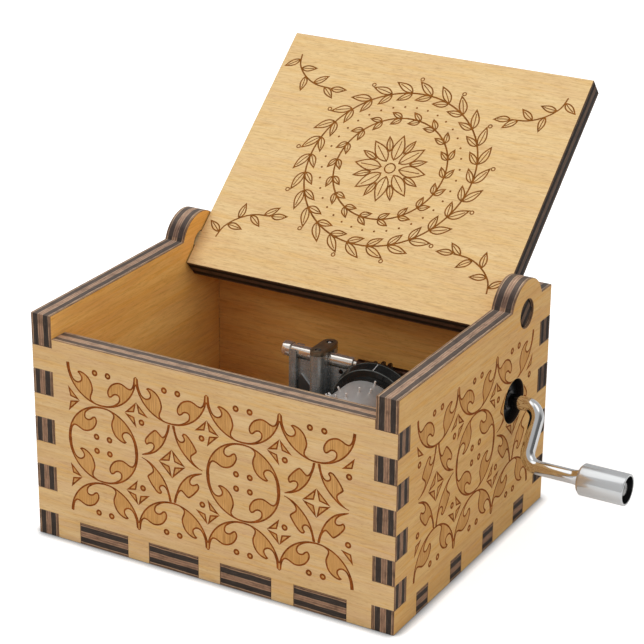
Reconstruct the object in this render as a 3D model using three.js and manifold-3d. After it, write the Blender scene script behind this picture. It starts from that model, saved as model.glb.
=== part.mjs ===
// Hand-cranked drum music box in a finger-jointed plywood case.
// Millimetres. X runs to the crank side, Y to the back, Z up.
// The origin is the centre of the case's underside.
import * as THREE from 'three';
import { mergeVertices } from 'three/addons/utils/BufferGeometryUtils.js';
import Module from 'manifold-3d';

const wasm = await Module();
wasm.setup();

// Case sizes
const caseWidth = 64;
const caseDepth = 52;
const caseHeight = 38;
const ply = 3.7;
const fingerPitch = 4.095;
const frontTabWidth = 9;
const frontTabPitch = 13;
const sideTabWidth = 3.7;
const sideTabPitch = 11.3;
const earRadius = 5.7;
const earFacets = 24;

// Lid and hinge sizes
const lidOpenDegrees = 139.4;
const lidSeatGap = 0.1;
const lidSideGap = 0.2;
const lidSwingGap = 0.2;
const hingeSetback = 5.45;
const hingeHoleRadius = 2.39;
const hingePlay = 0.08;
const tenonHalfWidth = 1.9;
const tenonInset = 0.25;

// Crank line and drum line
const crankSetback = 9;
const crankHoleRadius = 3.62;
const drumAside = 8.9;
const drumFloorGap = 2.6;
const meshRadius = 5.95;

// Fits
const runningGap = 0.05;
const seatGap = 0.02;

// Drum, pins and comb sizes
const drumRadius = 6.15;
const drumWall = 0.6;
const drumFrontGap = 10.5;
const drumCapThickness = 1.2;
const pinRadius = 0.2;
const pinTipRadius = 7.05;
const pinRootDepth = 0.3;
const pinsPerTrack = 5;
const pinSpread = 0.62;
const goldenShare = 0.618034;
const pinFacets = 6;
const combPitch = 1.04;
const combFirstFromDrumEnd = 1;
const combLastFromDrumEnd = 0.85;
const combSlot = 0.28;
const combThickness = 0.95;
const combLength = 15.4;
const combLongTooth = 9.2;
const combShortTooth = 5.4;
const combTipGap = 0.1;
const combMargin = 0.45;
const combScrewFromBack = 2.7;
const combScrewShare = 0.469;
const combScrewShankRadius = 0.8;
const combScrewHeadRadius = 1.6;
const combScrewHeadHeight = 1;
const combScrewDepth = 4;
const arborRadius = 1;
const arborClipRadius = 1.9;
const arborClipThickness = 0.5;

// Toothed end of the drum
const gearTeeth = 30;
const toothShaftGap = 0.12;
const toothHeight = 0.9;
const toothRootOverlap = 0.15;
const toothTipWidth = 0.4;
const toothRootWidth = 0.62;
const toothInnerRadius = 4.9;
const toothOuterRadius = 7.95;
const gearWebRadius = 8.05;
const gearBackStep = 0.4;
const gearRimWidth = 1.85;
const gearRimFrontRadius = 7.55;
const gearRimBackRadius = 7.98;
const gearCollarWidth = 1.2;
const gearCollarRadius = 6.35;
const gearSpigotLength = 2;
const gearHubRadius = 2.2;
const gearHubGap = 0.3;

// Crankshaft, worm and crank sizes
const shaftRadius = 1.03;
const shaftNeckRadius = 0.6;
const neckFromDrumLine = 5.5;
const neckPastDrumLine = 5.1;
const wormHalfLength = 4.8;
const wormRootRadius = 0.95;
const wormCrestRadius = 1.5;
const wormCrestWidth = 0.24;
const wormRootWidth = 0.46;
const wormTurns = 3;
const wormFacets = 24;
const wormTaperShare = 0.12;
const endCapRadius = 1.3;
const endCapLength = 1.5;
const endCapFloor = 0.4;
const couplingRadius = 1.6;
const couplingLength = 9.8;
const couplingInset = 0.7;
const shaftInCoupling = 5.4;
const rodInCoupling = 3.9;
const rodRadius = 1.15;
const rodBendRadius = 2.3;
const rodOut = 4.55;
const crankThrow = 9.3;
const crankRestDegrees = 32.9;
const knobStart = 14.1;
const knobLength = 7.8;
const knobRadius = 2.55;
const knobChamfer = 0.45;
const knobRecessRadius = 2.15;
const knobRecessDepth = 1.7;
const knobPlay = 0.06;
const knobEndGap = 0.1;
const rivetRadius = 1.6;
const rivetHeight = 0.75;
const stopReach = 1.4;
const stopLength = 0.9;
const stopThickness = 0.5;
const stopTurnDegrees = 67;
const stopGap = 0.12;

// Movement bed sizes
const bedThickness = 2.2;
const bedLeft = 19;
const bedSideGap = 0.7;
const bedFrontMargin = 3.5;
const bedRearGap = 3.7;
const bedCorner = 3;
const ledgeWidth = 6.6;
const ledgeFromCombBack = 0.55;
const bearingGap = 0.5;
const bearingThickness = 2.2;
const bearingRadius = 3.2;
const bearingFootHalf = 5;

// Crank frame sizes
const frameFoot = 2.3;
const frameFootInset = 0.2;
const webGap = 0.6;
const webThickness = 1.6;
const webTopGap = 0.12;
const webLowDrop = 2.5;
const webStep = 6;
const webEdgeThin = 0.3;
const drumBossRadius = 3;
const drumBossLength = 2.3;
const saddleLeft = 8.2;
const saddleWidth = 1.3;
const saddleFront = 1.4;
const saddleBack = 1.7;
const saddleRise = 0.55;
const postAside = 2.37;
const postHalfWidth = 1.33;
const postSpacing = 1.95;
const postShaftGap = 0.12;
const strapGap = 0.12;
const strapThickness = 0.75;
const strapScrewRadius = 0.5;
const strapScrewHeadRadius = 0.8;
const strapScrewHeadHeight = 0.3;
const strapScrewDepth = 2.2;
const uprightThickness = 3;
const uprightHalfWidth = 3.9;
const uprightWallGap = 0.1;
const bossRadius = 3.5;
const bossInset = 1.2;
const ribApexDrop = 3.55;
const ribFootDrop = 8.1;
const ribLeft = 1.75;
const ribRight = 4.4;
const ribAside = 6.17;
const ribStandOut = 0.4;
const footScrewRadius = 0.9;
const footScrewHeadRadius = 1.6;
const footScrewHeadHeight = 1;
const footScrewDepth = 1.6;
const footScrewNear = 0.6;
const footScrewFromUpright = 7.6;
const footScrewFromWeb = 2.4;
const caseScrewRadius = 1;
const caseScrewHeadRadius = 2;
const caseScrewHeadHeight = 1.2;
const caseScrewRecess = 1.5;
const caseScrewDepth = 1.7;
const caseScrewMargin = 3.3;

// Facet counts
const roundFacets = 36;
const smallFacets = 16;
const rodFacets = 14;
const rodSteps = 42;

// Derived lines
const halfWidth = caseWidth / 2;
const halfDepth = caseDepth / 2;
const innerX = halfWidth - ply;
const innerY = halfDepth - ply;
const hingeY = innerY - hingeSetback;
const hingeZ = caseHeight - ply / 2;
const lidOpen = THREE.MathUtils.degToRad(lidOpenDegrees);
const crankY = innerY - crankSetback;
const bedTop = ply + bedThickness;
const drumHeight = bedTop + drumFloorGap + gearWebRadius;
const crankHeight = drumHeight + meshRadius;
const frontTop = caseHeight - ply - lidSeatGap;
const fingerCount = 2 * Math.floor(frontTop / fingerPitch / 2);
const frontTabCount = Math.floor((2 * innerX - frontTabWidth) / frontTabPitch) + 1;
const sideTabCount = Math.floor((2 * innerY - sideTabWidth) / sideTabPitch) + 1;
const wormLead = 2 * Math.PI * meshRadius / gearTeeth;
const toothTipY = crankY - shaftRadius - toothShaftGap;
const gearBackY = toothTipY - toothHeight;
const rimBackY = gearBackY - gearBackStep;
const rimFrontY = rimBackY - gearRimWidth;
const drumRearY = rimFrontY - gearCollarWidth;
const drumFrontY = drumFrontGap - innerY;
const drumLength = drumRearY - drumFrontY;
const webFrontY = toothTipY + webGap;
const webBackY = webFrontY + webThickness;
const combTipX = drumAside - pinTipRadius - combTipGap;
const combFirstY = drumFrontY + combFirstFromDrumEnd;
const combReach = drumLength - combFirstFromDrumEnd - combLastFromDrumEnd;
const combTeeth = Math.floor(combReach / combPitch) + 1;
const combMiddleY = combFirstY + combPitch * (combTeeth - 1) / 2;
const combHalf = combPitch * combTeeth / 2 + combMargin;
const combUnder = drumHeight - combThickness / 2;
const bearingBackY = drumFrontY - bearingGap;
const bearingFrontY = bearingBackY - bearingThickness;
const bedFrontY = bearingFrontY - bedFrontMargin;
const bedBackY = innerY - bedRearGap;
const bedRightX = innerX - bedSideGap;
const uprightRight = innerX - uprightWallGap;
const uprightLeft = uprightRight - uprightThickness;
const footScrewAside = [footScrewNear, uprightLeft - footScrewFromUpright];
const footScrewBack = webBackY + footScrewFromWeb;
const caseScrewPlaces = [
  [caseScrewMargin - bedLeft, bedFrontY + caseScrewMargin],
  [caseScrewMargin - bedLeft, bedBackY - caseScrewMargin],
  [bedRightX - caseScrewMargin, bedFrontY + caseScrewMargin],
];
const postTop = crankHeight + shaftRadius + strapGap;
const couplingEnd = halfWidth - couplingInset;
const couplingStart = couplingEnd - couplingLength;

// Looks
const looks = {
  face: ['#c79f63', 0.62, 0], lid: ['#e0c08c', 0.6, 0], base: ['#a9834f', 0.68, 0],
  casting: ['#6d6a64', 0.42, 0.85], strap: ['#5a4c3c', 0.4, 0.8], steel: ['#c9cbcd', 0.16, 1],
  chrome: ['#dfe1e3', 0.1, 1], satin: ['#b9bbbd', 0.3, 1], drum: ['#a8a8a4', 0.34, 0.9],
  black: ['#16171a', 0.38, 0], brass: ['#a06a43', 0.32, 0.9], dark: ['#2b2b2d', 0.4, 0.8],
};

function look(name) {
  const [color, roughness, metalness] = looks[name];
  return new THREE.MeshStandardMaterial({ color, roughness, metalness });
}

// A closed, welded shape with every face turned outward
function tidy(source) {
  const geometry = source.index ? source : mergeVertices(source);
  geometry.deleteAttribute('normal');
  geometry.deleteAttribute('uv');
  const welded = mergeVertices(geometry, 1e-5);
  const place = welded.getAttribute('position');
  const corner = [];
  let volume = 0;
  const a = new THREE.Vector3(), b = new THREE.Vector3(), c = new THREE.Vector3();
  for (let i = 0; i < welded.index.count; i += 3) {
    const [p, q, r] = [0, 1, 2].map((k) => welded.index.getX(i + k));
    if (p === q || q === r || r === p) continue;
    corner.push(p, q, r);
    a.fromBufferAttribute(place, p);
    b.fromBufferAttribute(place, q);
    c.fromBufferAttribute(place, r);
    volume += a.dot(b.cross(c));
  }
  if (volume < 0) {
    for (let i = 0; i < corner.length; i += 3) corner.splice(i, 2, corner[i + 1], corner[i]);
  }
  welded.setIndex(corner);
  return welded;
}

function solid(geometry) {
  const shape = tidy(geometry);
  const mesh = new wasm.Mesh({
    numProp: 3,
    vertProperties: new Float32Array(shape.getAttribute('position').array),
    triVerts: new Uint32Array(shape.index.array),
  });
  return new wasm.Manifold(mesh);
}

function shapeOf(body) {
  const mesh = body.getMesh();
  const geometry = new THREE.BufferGeometry();
  geometry.setAttribute('position', new THREE.BufferAttribute(new Float32Array(mesh.vertProperties), 3));
  geometry.setIndex(Array.from(mesh.triVerts));
  return geometry;
}

function joined(first, ...others) {
  return others.reduce((whole, next) => whole.add(next), first);
}

function cut(first, ...others) {
  return others.reduce((whole, next) => whole.subtract(next), first);
}

function piece(name, lookName, source) {
  const geometry = source.getMesh ? shapeOf(source) : tidy(source);
  const faceted = geometry.toNonIndexed();
  faceted.computeVertexNormals();
  const mesh = new THREE.Mesh(faceted, look(lookName));
  mesh.name = name;
  return mesh;
}

// Plain bodies
function block(x0, x1, y0, y1, z0, z1) {
  const geometry = new THREE.BoxGeometry(x1 - x0, y1 - y0, z1 - z0);
  return geometry.translate((x0 + x1) / 2, (y0 + y1) / 2, (z0 + z1) / 2);
}

function outline(points) {
  return new THREE.Shape(points.map(([u, v]) => new THREE.Vector2(u, v)));
}

function slab(shape, from, to) {
  const geometry = new THREE.ExtrudeGeometry(shape, { depth: to - from, bevelEnabled: false });
  return geometry.translate(0, 0, from);
}

// A slab drawn in Y and Z, running along X
function slabAlongX(points, from, to) {
  const turn = new THREE.Matrix4().makeBasis(
    new THREE.Vector3(0, 1, 0), new THREE.Vector3(0, 0, 1), new THREE.Vector3(1, 0, 0));
  return slab(outline(points), from, to).applyMatrix4(turn);
}

// A slab drawn in X and Z, running along Y
function slabAlongY(points, from, to) {
  const turn = new THREE.Matrix4().makeBasis(
    new THREE.Vector3(1, 0, 0), new THREE.Vector3(0, 0, 1), new THREE.Vector3(0, -1, 0));
  return slab(outline(points), -to, -from).applyMatrix4(turn);
}

// A turned body: profile rows are radius and distance along the axis
function turned(profile, axis, facets = roundFacets) {
  const geometry = new THREE.LatheGeometry(profile.map(([r, h]) => new THREE.Vector2(r, h)), facets);
  if (axis === 'x') geometry.rotateZ(-Math.PI / 2);
  if (axis === 'z') geometry.rotateX(Math.PI / 2);
  return geometry;
}

function rod(radius, from, to, axis, facets = roundFacets) {
  return turned([[0, from], [radius, from], [radius, to], [0, to]], axis, facets);
}

function ring(outer, inner, from, to, axis, facets = roundFacets) {
  return turned([[inner, from], [outer, from], [outer, to], [inner, to], [inner, from]], axis, facets);
}

function arcPoints(cu, cv, radius, fromAngle, toAngle, facets) {
  return Array.from({ length: facets + 1 }, (_, i) => {
    const angle = fromAngle + (toAngle - fromAngle) * i / facets;
    return [cu + radius * Math.cos(angle), cv + radius * Math.sin(angle)];
  });
}

// A body through rows of matching corner points, capped at both ends
function swept(rows) {
  const count = rows[0].length;
  const corner = [];
  for (let i = 0; i + 1 < rows.length; i += 1) {
    for (let k = 0; k < count; k += 1) {
      const next = (k + 1) % count;
      const [p, q] = [i * count + k, i * count + next];
      corner.push(p, q, q + count, p, q + count, p + count);
    }
  }
  const last = (rows.length - 1) * count;
  for (let k = 1; k + 1 < count; k += 1) corner.push(0, k + 1, k, last, last + k, last + k + 1);
  const geometry = new THREE.BufferGeometry();
  geometry.setAttribute('position', new THREE.Float32BufferAttribute(rows.flat(2), 3));
  geometry.setAttribute('normal', new THREE.Float32BufferAttribute(rows.flat(2), 3));
  geometry.setAttribute('uv', new THREE.Float32BufferAttribute(rows.flat().flatMap(() => [0, 0]), 2));
  geometry.setIndex(corner);
  return geometry;
}

// Case outlines

// Rows of inset and height up a corner edge whose fingers fill the even or the odd levels
function cornerRows(evenStandOut, top) {
  const rows = [];
  for (let level = 0; level <= fingerCount; level += 1) {
    const standsOut = (level % 2 === 0) === evenStandOut;
    const inset = standsOut ? 0 : ply;
    rows.push([inset, level * fingerPitch], [inset, level === fingerCount ? top : (level + 1) * fingerPitch]);
  }
  return rows;
}

// Left to right along the bottom, stepping up over each tab of the base
function bottomRows(from, to, tabCount, tabWidth, tabPitch) {
  const rows = [[from, 0]];
  for (let i = 0; i < tabCount; i += 1) {
    const middle = (i - (tabCount - 1) / 2) * tabPitch;
    const [near, far] = [middle - tabWidth / 2, middle + tabWidth / 2];
    rows.push([near, 0], [near, ply], [far, ply], [far, 0]);
  }
  rows.push([to, 0]);
  return rows;
}

function withoutRepeats(points) {
  return points.filter(([u, v], i) => {
    const [pu, pv] = points[(i + points.length - 1) % points.length];
    return u !== pu || v !== pv;
  });
}

function endPanelOutline(top) {
  const corner = cornerRows(false, top);
  const right = corner.map(([inset, z]) => [halfWidth - inset, z]);
  const left = corner.map(([inset, z]) => [inset - halfWidth, z]).reverse();
  const bottom = bottomRows(-innerX, innerX, frontTabCount, frontTabWidth, frontTabPitch);
  return withoutRepeats([...bottom, ...right, ...left]);
}

function sidePanelOutline() {
  const corner = cornerRows(true, caseHeight);
  const back = corner.map(([inset, z]) => [halfDepth - inset, z]);
  const front = corner.map(([inset, z]) => [inset - halfDepth, z]).reverse();
  const rise = Math.asin((caseHeight - hingeZ) / earRadius);
  const ear = arcPoints(hingeY, hingeZ, earRadius, rise, Math.PI - rise, earFacets);
  const bottom = bottomRows(-halfDepth, halfDepth, sideTabCount, sideTabWidth, sideTabPitch);
  return withoutRepeats([...bottom, ...back, ...ear, ...front]);
}

function baseOutline() {
  const along = (half, tabCount, tabWidth, tabPitch) => Array.from({ length: tabCount }, (_, i) => {
    const middle = (i - (tabCount - 1) / 2) * tabPitch;
    return [[middle - tabWidth / 2, half], [middle - tabWidth / 2, half + ply],
      [middle + tabWidth / 2, half + ply], [middle + tabWidth / 2, half]];
  }).flat();
  const front = along(innerY, frontTabCount, frontTabWidth, frontTabPitch);
  const side = along(innerX, sideTabCount, sideTabWidth, sideTabPitch);
  return [
    [-innerX, -innerY], ...front.map(([u, v]) => [u, -v]),
    [innerX, -innerY], ...side.map(([u, v]) => [v, u]),
    [innerX, innerY], ...front.map(([u, v]) => [-u, v]),
    [-innerX, innerY], ...side.map(([u, v]) => [-v, -u]),
  ];
}

// Case panels
function sidePanel(name, inner, outer, holeRadius) {
  const [from, to] = inner < outer ? [inner, outer] : [outer, inner];
  const hinge = rod(hingeHoleRadius, from - ply, to + ply, 'x').translate(0, hingeY, hingeZ);
  let panel = cut(solid(slabAlongX(sidePanelOutline(), from, to)), solid(hinge));
  if (holeRadius) {
    const hole = rod(holeRadius, from - ply, to + ply, 'x').translate(0, crankY, crankHeight);
    panel = cut(panel, solid(hole));
  }
  return piece(name, 'face', panel);
}

function basePanel() {
  const holes = caseScrewPlaces.flatMap(([x, y]) => [
    solid(rod(caseScrewRadius + runningGap, -ply, ply + ply, 'z', smallFacets).translate(x, y, 0)),
    solid(rod(caseScrewHeadRadius + runningGap, -ply, caseScrewRecess, 'z').translate(x, y, 0)),
  ]);
  return piece('base_panel', 'base', cut(solid(slab(outline(baseOutline()), 0, ply)), ...holes));
}

function casePanels() {
  return [
    basePanel(),
    piece('front_panel', 'face',
      slabAlongY(endPanelOutline(frontTop), -halfDepth, -innerY)),
    piece('rear_panel', 'face', slabAlongY(endPanelOutline(caseHeight), innerY, halfDepth)),
    sidePanel('left_side_panel', -innerX, -halfWidth, 0),
    sidePanel('right_side_panel', innerX, halfWidth, crankHoleRadius),
  ];
}

// Lid, drawn about its hinge line
function lid() {
  const tenonRadius = hingeHoleRadius - hingePlay;
  const reach = halfWidth - tenonInset;
  const sweep = hingeSetback - lidSwingGap;
  const rear = Math.sqrt(sweep * sweep - ply * ply / 4);
  const half = innerX - lidSideGap;
  const round = solid(rod(tenonRadius, -reach, reach, 'x'));
  const flat = solid(block(-halfWidth, halfWidth, -tenonHalfWidth, tenonHalfWidth, -ply / 2, ply / 2));
  const plate = solid(block(-half, half, -halfDepth - hingeY, rear, -ply / 2, ply / 2));
  const mesh = piece('lid_panel', 'lid', joined(plate, round.intersect(flat)));
  mesh.position.set(0, hingeY, hingeZ);
  mesh.rotation.x = -lidOpen;
  return mesh;
}

// Movement bed with the comb ledge and the drum's front bearing
function bedPlate() {
  const corner = (x, y, from) => arcPoints(x, y, bedCorner, from, from + Math.PI / 2, smallFacets / 4);
  const plan = [
    ...corner(bedRightX - bedCorner, bedBackY - bedCorner, 0),
    ...corner(bedCorner - bedLeft, bedBackY - bedCorner, Math.PI / 2),
    ...corner(bedCorner - bedLeft, bedFrontY + bedCorner, Math.PI),
    ...corner(bedRightX - bedCorner, bedFrontY + bedCorner, -Math.PI / 2),
  ];
  const ledgeLeft = combTipX - combLength - ledgeFromCombBack;
  const ledge = block(ledgeLeft, ledgeLeft + ledgeWidth, combMiddleY - combHalf, combMiddleY + combHalf,
    ply, combUnder);
  const bearing = [
    [drumAside - bearingFootHalf, ply], [drumAside + bearingFootHalf, ply],
    ...arcPoints(drumAside, drumHeight, bearingRadius, 0, Math.PI, smallFacets),
  ];
  const body = joined(solid(slab(outline(plan), ply, bedTop)), solid(ledge),
    solid(slabAlongY(bearing, bearingFrontY, bearingBackY)));
  const arborHole = rod(arborRadius + runningGap, bearingFrontY - ply, bearingBackY + ply, 'y')
    .translate(drumAside, 0, drumHeight);
  const combHoles = combScrewPlaces().map(([x, y]) => solid(
    rod(combScrewShankRadius + seatGap, combUnder - combScrewDepth, combUnder + ply, 'z', smallFacets)
      .translate(x, y, 0)));
  const footHoles = footScrewAside.map((x) => solid(
    rod(footScrewRadius + seatGap, bedTop - footScrewDepth, bedTop + ply, 'z', smallFacets)
      .translate(x, footScrewBack, 0)));
  const caseHoles = caseScrewPlaces.map(([x, y]) => solid(
    rod(caseScrewRadius + seatGap, 0, ply + caseScrewDepth, 'z', smallFacets).translate(x, y, 0)));
  return piece('movement_bed', 'casting',
    cut(body, solid(arborHole), ...combHoles, ...footHoles, ...caseHoles));
}

// Rear casting that carries the crankshaft and the drum's rear bearing
function crankFrame() {
  const postFront = crankY - postSpacing;
  const postBack = crankY + postSpacing;
  const webTop = crankHeight - shaftRadius - webTopGap;
  const foot = block(-saddleLeft, uprightRight, webFrontY, bedBackY - frameFootInset, bedTop,
    bedTop + frameFoot);
  const webLowTop = crankHeight - webLowDrop;
  const web = slabAlongY([
    [-saddleLeft, bedTop], [uprightRight, bedTop], [uprightRight, webLowTop],
    [drumAside - webStep, webLowTop], [drumAside - webStep, webTop], [-saddleLeft, webTop],
  ], webFrontY, webBackY);
  const saddle = block(-saddleLeft, saddleWidth - saddleLeft, crankY - saddleFront, crankY + saddleBack,
    bedTop, crankHeight + saddleRise);
  const post = (middle, from, to, inner) => slab(outline([
    ...arcPoints(-postAside, middle, postHalfWidth, from, to, smallFacets / 2),
    [-postAside + (from === 0 ? -postHalfWidth : postHalfWidth), inner],
    [-postAside + (from === 0 ? postHalfWidth : -postHalfWidth), inner],
  ]), bedTop, postTop);
  const cradle = block(-postAside - postHalfWidth, -postAside + postHalfWidth,
    crankY - shaftRadius - postShaftGap, crankY + shaftRadius + postShaftGap, bedTop, crankHeight);
  const upright = slabAlongX([
    [crankY - uprightHalfWidth, bedTop], [crankY + uprightHalfWidth, bedTop],
    ...arcPoints(crankY, crankHeight, uprightHalfWidth, 0, Math.PI, smallFacets),
  ], uprightLeft, uprightRight);
  const boss = rod(bossRadius, uprightRight - webEdgeThin, halfWidth - bossInset, 'x')
    .translate(0, crankY, crankHeight);
  const drumBoss = rod(drumBossRadius, webBackY - webEdgeThin, webBackY + drumBossLength, 'y')
    .translate(drumAside, 0, drumHeight);
  const rib = slabAlongY([
    [-ribAside - ribLeft, bedTop], [-ribAside + ribRight, bedTop],
    [-ribAside + ribRight, crankHeight - ribFootDrop], [-ribAside, crankHeight - ribApexDrop],
    [-ribAside - ribLeft, crankHeight - ribFootDrop],
  ], webFrontY - ribStandOut, webBackY);
  const inner = shaftRadius + postShaftGap;
  const body = joined(solid(foot), solid(web), solid(rib), solid(saddle),
    solid(post(postFront, Math.PI, 2 * Math.PI, crankY - inner)),
    solid(post(postBack, 0, Math.PI, crankY + inner)),
    solid(cradle), solid(upright), solid(boss), solid(drumBoss));
  const shaftLine = rod(shaftRadius + runningGap, -halfWidth, uprightLeft - webEdgeThin, 'x')
    .translate(0, crankY, crankHeight);
  const couplingLine = rod(couplingRadius + runningGap, uprightLeft - webEdgeThin, halfWidth + ply, 'x')
    .translate(0, crankY, crankHeight);
  const arborLine = rod(arborRadius + runningGap, webFrontY - ply, webBackY + drumBossLength + ply, 'y')
    .translate(drumAside, 0, drumHeight);
  const slot = block(-halfWidth, -postAside - postHalfWidth - webEdgeThin,
    crankY - shaftRadius - runningGap, crankY + shaftRadius + runningGap, crankHeight, caseHeight);
  const strapHoles = [postFront, postBack].map((y) => solid(
    rod(strapScrewRadius + seatGap, postTop - strapScrewDepth, postTop + ply, 'z', smallFacets)
      .translate(-postAside, y, 0)));
  const footHoles = footScrewAside.map((x) => solid(
    rod(footScrewRadius + seatGap, bedTop - ply, bedTop + frameFoot + ply, 'z', smallFacets)
      .translate(x, footScrewBack, 0)));
  return piece('crank_frame', 'casting', cut(body, solid(shaftLine), solid(couplingLine),
    solid(arborLine), solid(slot), ...strapHoles, ...footHoles));
}

// Strap over the crankshaft, with its two screws
function bridge() {
  const plan = [
    ...arcPoints(-postAside, crankY + postSpacing, postHalfWidth, 0, Math.PI, smallFacets / 2),
    ...arcPoints(-postAside, crankY - postSpacing, postHalfWidth, Math.PI, 2 * Math.PI, smallFacets / 2),
  ];
  const top = postTop + strapThickness;
  const places = [crankY - postSpacing, crankY + postSpacing];
  const holes = places.flatMap((y) => [
    solid(rod(strapScrewRadius + seatGap, postTop - ply, top + ply, 'z', smallFacets)
      .translate(-postAside, y, 0)),
    solid(rod(strapScrewHeadRadius + seatGap, top - strapScrewHeadHeight, top + ply, 'z', smallFacets)
      .translate(-postAside, y, 0)),
  ]);
  const strap = piece('shaft_strap', 'strap', cut(solid(slab(outline(plan), postTop, top)), ...holes));
  const screws = places.map((y, i) => {
    const mesh = piece(`strap_screw_${i + 1}`, 'steel', turned([
      [0, postTop - strapScrewDepth + seatGap], [strapScrewRadius, postTop - strapScrewDepth + seatGap],
      [strapScrewRadius, top - strapScrewHeadHeight], [strapScrewHeadRadius, top - strapScrewHeadHeight],
      [strapScrewHeadRadius, top], [0, top],
    ], 'z', smallFacets));
    mesh.position.set(-postAside, y, 0);
    return mesh;
  });
  return [strap, ...screws];
}

// Comb
function combScrewPlaces() {
  const x = combTipX - combLength + combScrewFromBack;
  return [-1, 1].map((side) => [x, combMiddleY + side * combHalf * combScrewShare]);
}

function comb() {
  const back = combTipX - combLength;
  const points = [[back, combMiddleY + combHalf], [back, combMiddleY - combHalf]];
  for (let i = 0; i < combTeeth; i += 1) {
    const y = combFirstY + i * combPitch;
    const half = (combPitch - combSlot) / 2;
    const length = combLongTooth + (combShortTooth - combLongTooth) * i / (combTeeth - 1);
    const edge = combTipX - length;
    if (i === 0) points.push([edge, combMiddleY - combHalf], [edge, y - half]);
    points.push([combTipX, y - half], [combTipX, y + half], [edge, y + half]);
    if (i < combTeeth - 1) points.push([edge, y + combPitch - half]);
    else points.push([edge, combMiddleY + combHalf]);
  }
  const holes = combScrewPlaces().map(([x, y]) => solid(
    rod(combScrewShankRadius + seatGap, combUnder - ply, combUnder + ply, 'z', smallFacets)
      .translate(x, y, 0)));
  const top = combUnder + combThickness;
  const plate = piece('tone_comb', 'steel', cut(solid(slab(outline(points), combUnder, top)), ...holes));
  const screws = combScrewPlaces().map(([x, y], i) => {
    const foot = combUnder - combScrewDepth + seatGap;
    const mesh = piece(`comb_screw_${i + 1}`, 'satin', turned([
      [0, foot], [combScrewShankRadius, foot], [combScrewShankRadius, top],
      [combScrewHeadRadius, top], [combScrewHeadRadius, top + combScrewHeadHeight],
      [0, top + combScrewHeadHeight],
    ], 'z', smallFacets));
    mesh.position.set(x, y, 0);
    return mesh;
  });
  return [plate, ...screws];
}

// Drum with its playing pins, drawn about the drum line
function drumPins() {
  const shown = [[17, 78.4], [14, 84.4], [15, 71.3], [11, 89.6], [14, 118.3], [10, 104.5], [12, 128.9]];
  const [clearFrom, clearTo, clearTrack] = [60, 135, 9];
  const pins = shown.filter(([track]) => track < combTeeth);
  for (let track = 0; track < combTeeth; track += 1) {
    for (let i = 0; i < pinsPerTrack; i += 1) {
      const turn = goldenShare * (track * pinsPerTrack + i) * (track + 2);
      const degrees = 360 * (i + pinSpread * (turn % 1)) / pinsPerTrack;
      if (track < clearTrack || degrees < clearFrom || degrees > clearTo) pins.push([track, degrees]);
    }
  }
  return pins;
}

function drum() {
  const inner = drumRadius - drumWall;
  const tube = ring(drumRadius, inner, drumFrontY, drumRearY, 'y', roundFacets + smallFacets);
  const pins = drumPins().map(([track, degrees]) => solid(
    rod(pinRadius, drumRadius - pinRootDepth, pinTipRadius, 'x', pinFacets)
      .rotateY(-THREE.MathUtils.degToRad(degrees))
      .translate(0, combFirstY + track * combPitch, 0)));
  const cap = cut(solid(rod(inner - seatGap, drumFrontY, drumFrontY + drumCapThickness, 'y')),
    solid(rod(arborRadius + seatGap, drumFrontY - ply, drumFrontY + ply, 'y', smallFacets)));
  const rearEnd = webBackY + drumBossLength + runningGap;
  const frontEnd = bearingFrontY - arborClipThickness - runningGap;
  return [
    piece('pin_drum', 'drum', joined(solid(tube), ...pins)),
    piece('drum_front_cap', 'satin', cap),
    drumGear(inner),
    piece('drum_arbor', 'steel', rod(arborRadius, frontEnd, rearEnd, 'y', smallFacets)),
    piece('arbor_clip', 'dark', ring(arborClipRadius, arborRadius + seatGap,
      frontEnd, frontEnd + arborClipThickness, 'y', smallFacets)),
  ];
}

// Toothed end disc: its teeth face the back and meet the worm
function drumGear(inner) {
  const body = solid(turned([
    [arborRadius + seatGap, drumRearY - gearSpigotLength], [inner - seatGap, drumRearY - gearSpigotLength],
    [inner - seatGap, drumRearY], [gearCollarRadius, drumRearY], [gearCollarRadius, rimFrontY],
    [gearRimFrontRadius, rimFrontY], [gearRimBackRadius, rimBackY],
    [gearWebRadius, rimBackY], [gearWebRadius, gearBackY], [gearHubRadius, gearBackY],
    [gearHubRadius, webFrontY - gearHubGap], [arborRadius + seatGap, webFrontY - gearHubGap],
    [arborRadius + seatGap, drumRearY - gearSpigotLength],
  ], 'y', roundFacets + smallFacets));
  const lean = Math.atan(wormLead / (2 * Math.PI * (wormRootRadius + wormCrestRadius) / 2));
  const teeth = Array.from({ length: gearTeeth }, (_, k) => {
    const turn = (k + 1 / 2) * 2 * Math.PI / gearTeeth;
    const row = (y, width) => [
      [-1, toothInnerRadius], [1, toothInnerRadius], [1, toothOuterRadius], [-1, toothOuterRadius],
    ].map(([side, radius]) => {
      const rise = radius - meshRadius;
      const x = -rise * Math.sin(lean) + side * Math.cos(lean) * width / 2;
      const z = meshRadius + rise * Math.cos(lean) + side * Math.sin(lean) * width / 2;
      return [x * Math.cos(turn) + z * Math.sin(turn), y, z * Math.cos(turn) - x * Math.sin(turn)];
    });
    return solid(swept([row(gearBackY - toothRootOverlap, toothRootWidth), row(toothTipY, toothTipWidth)]));
  });
  return piece('drum_gear', 'black', joined(body, ...teeth));
}

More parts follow.
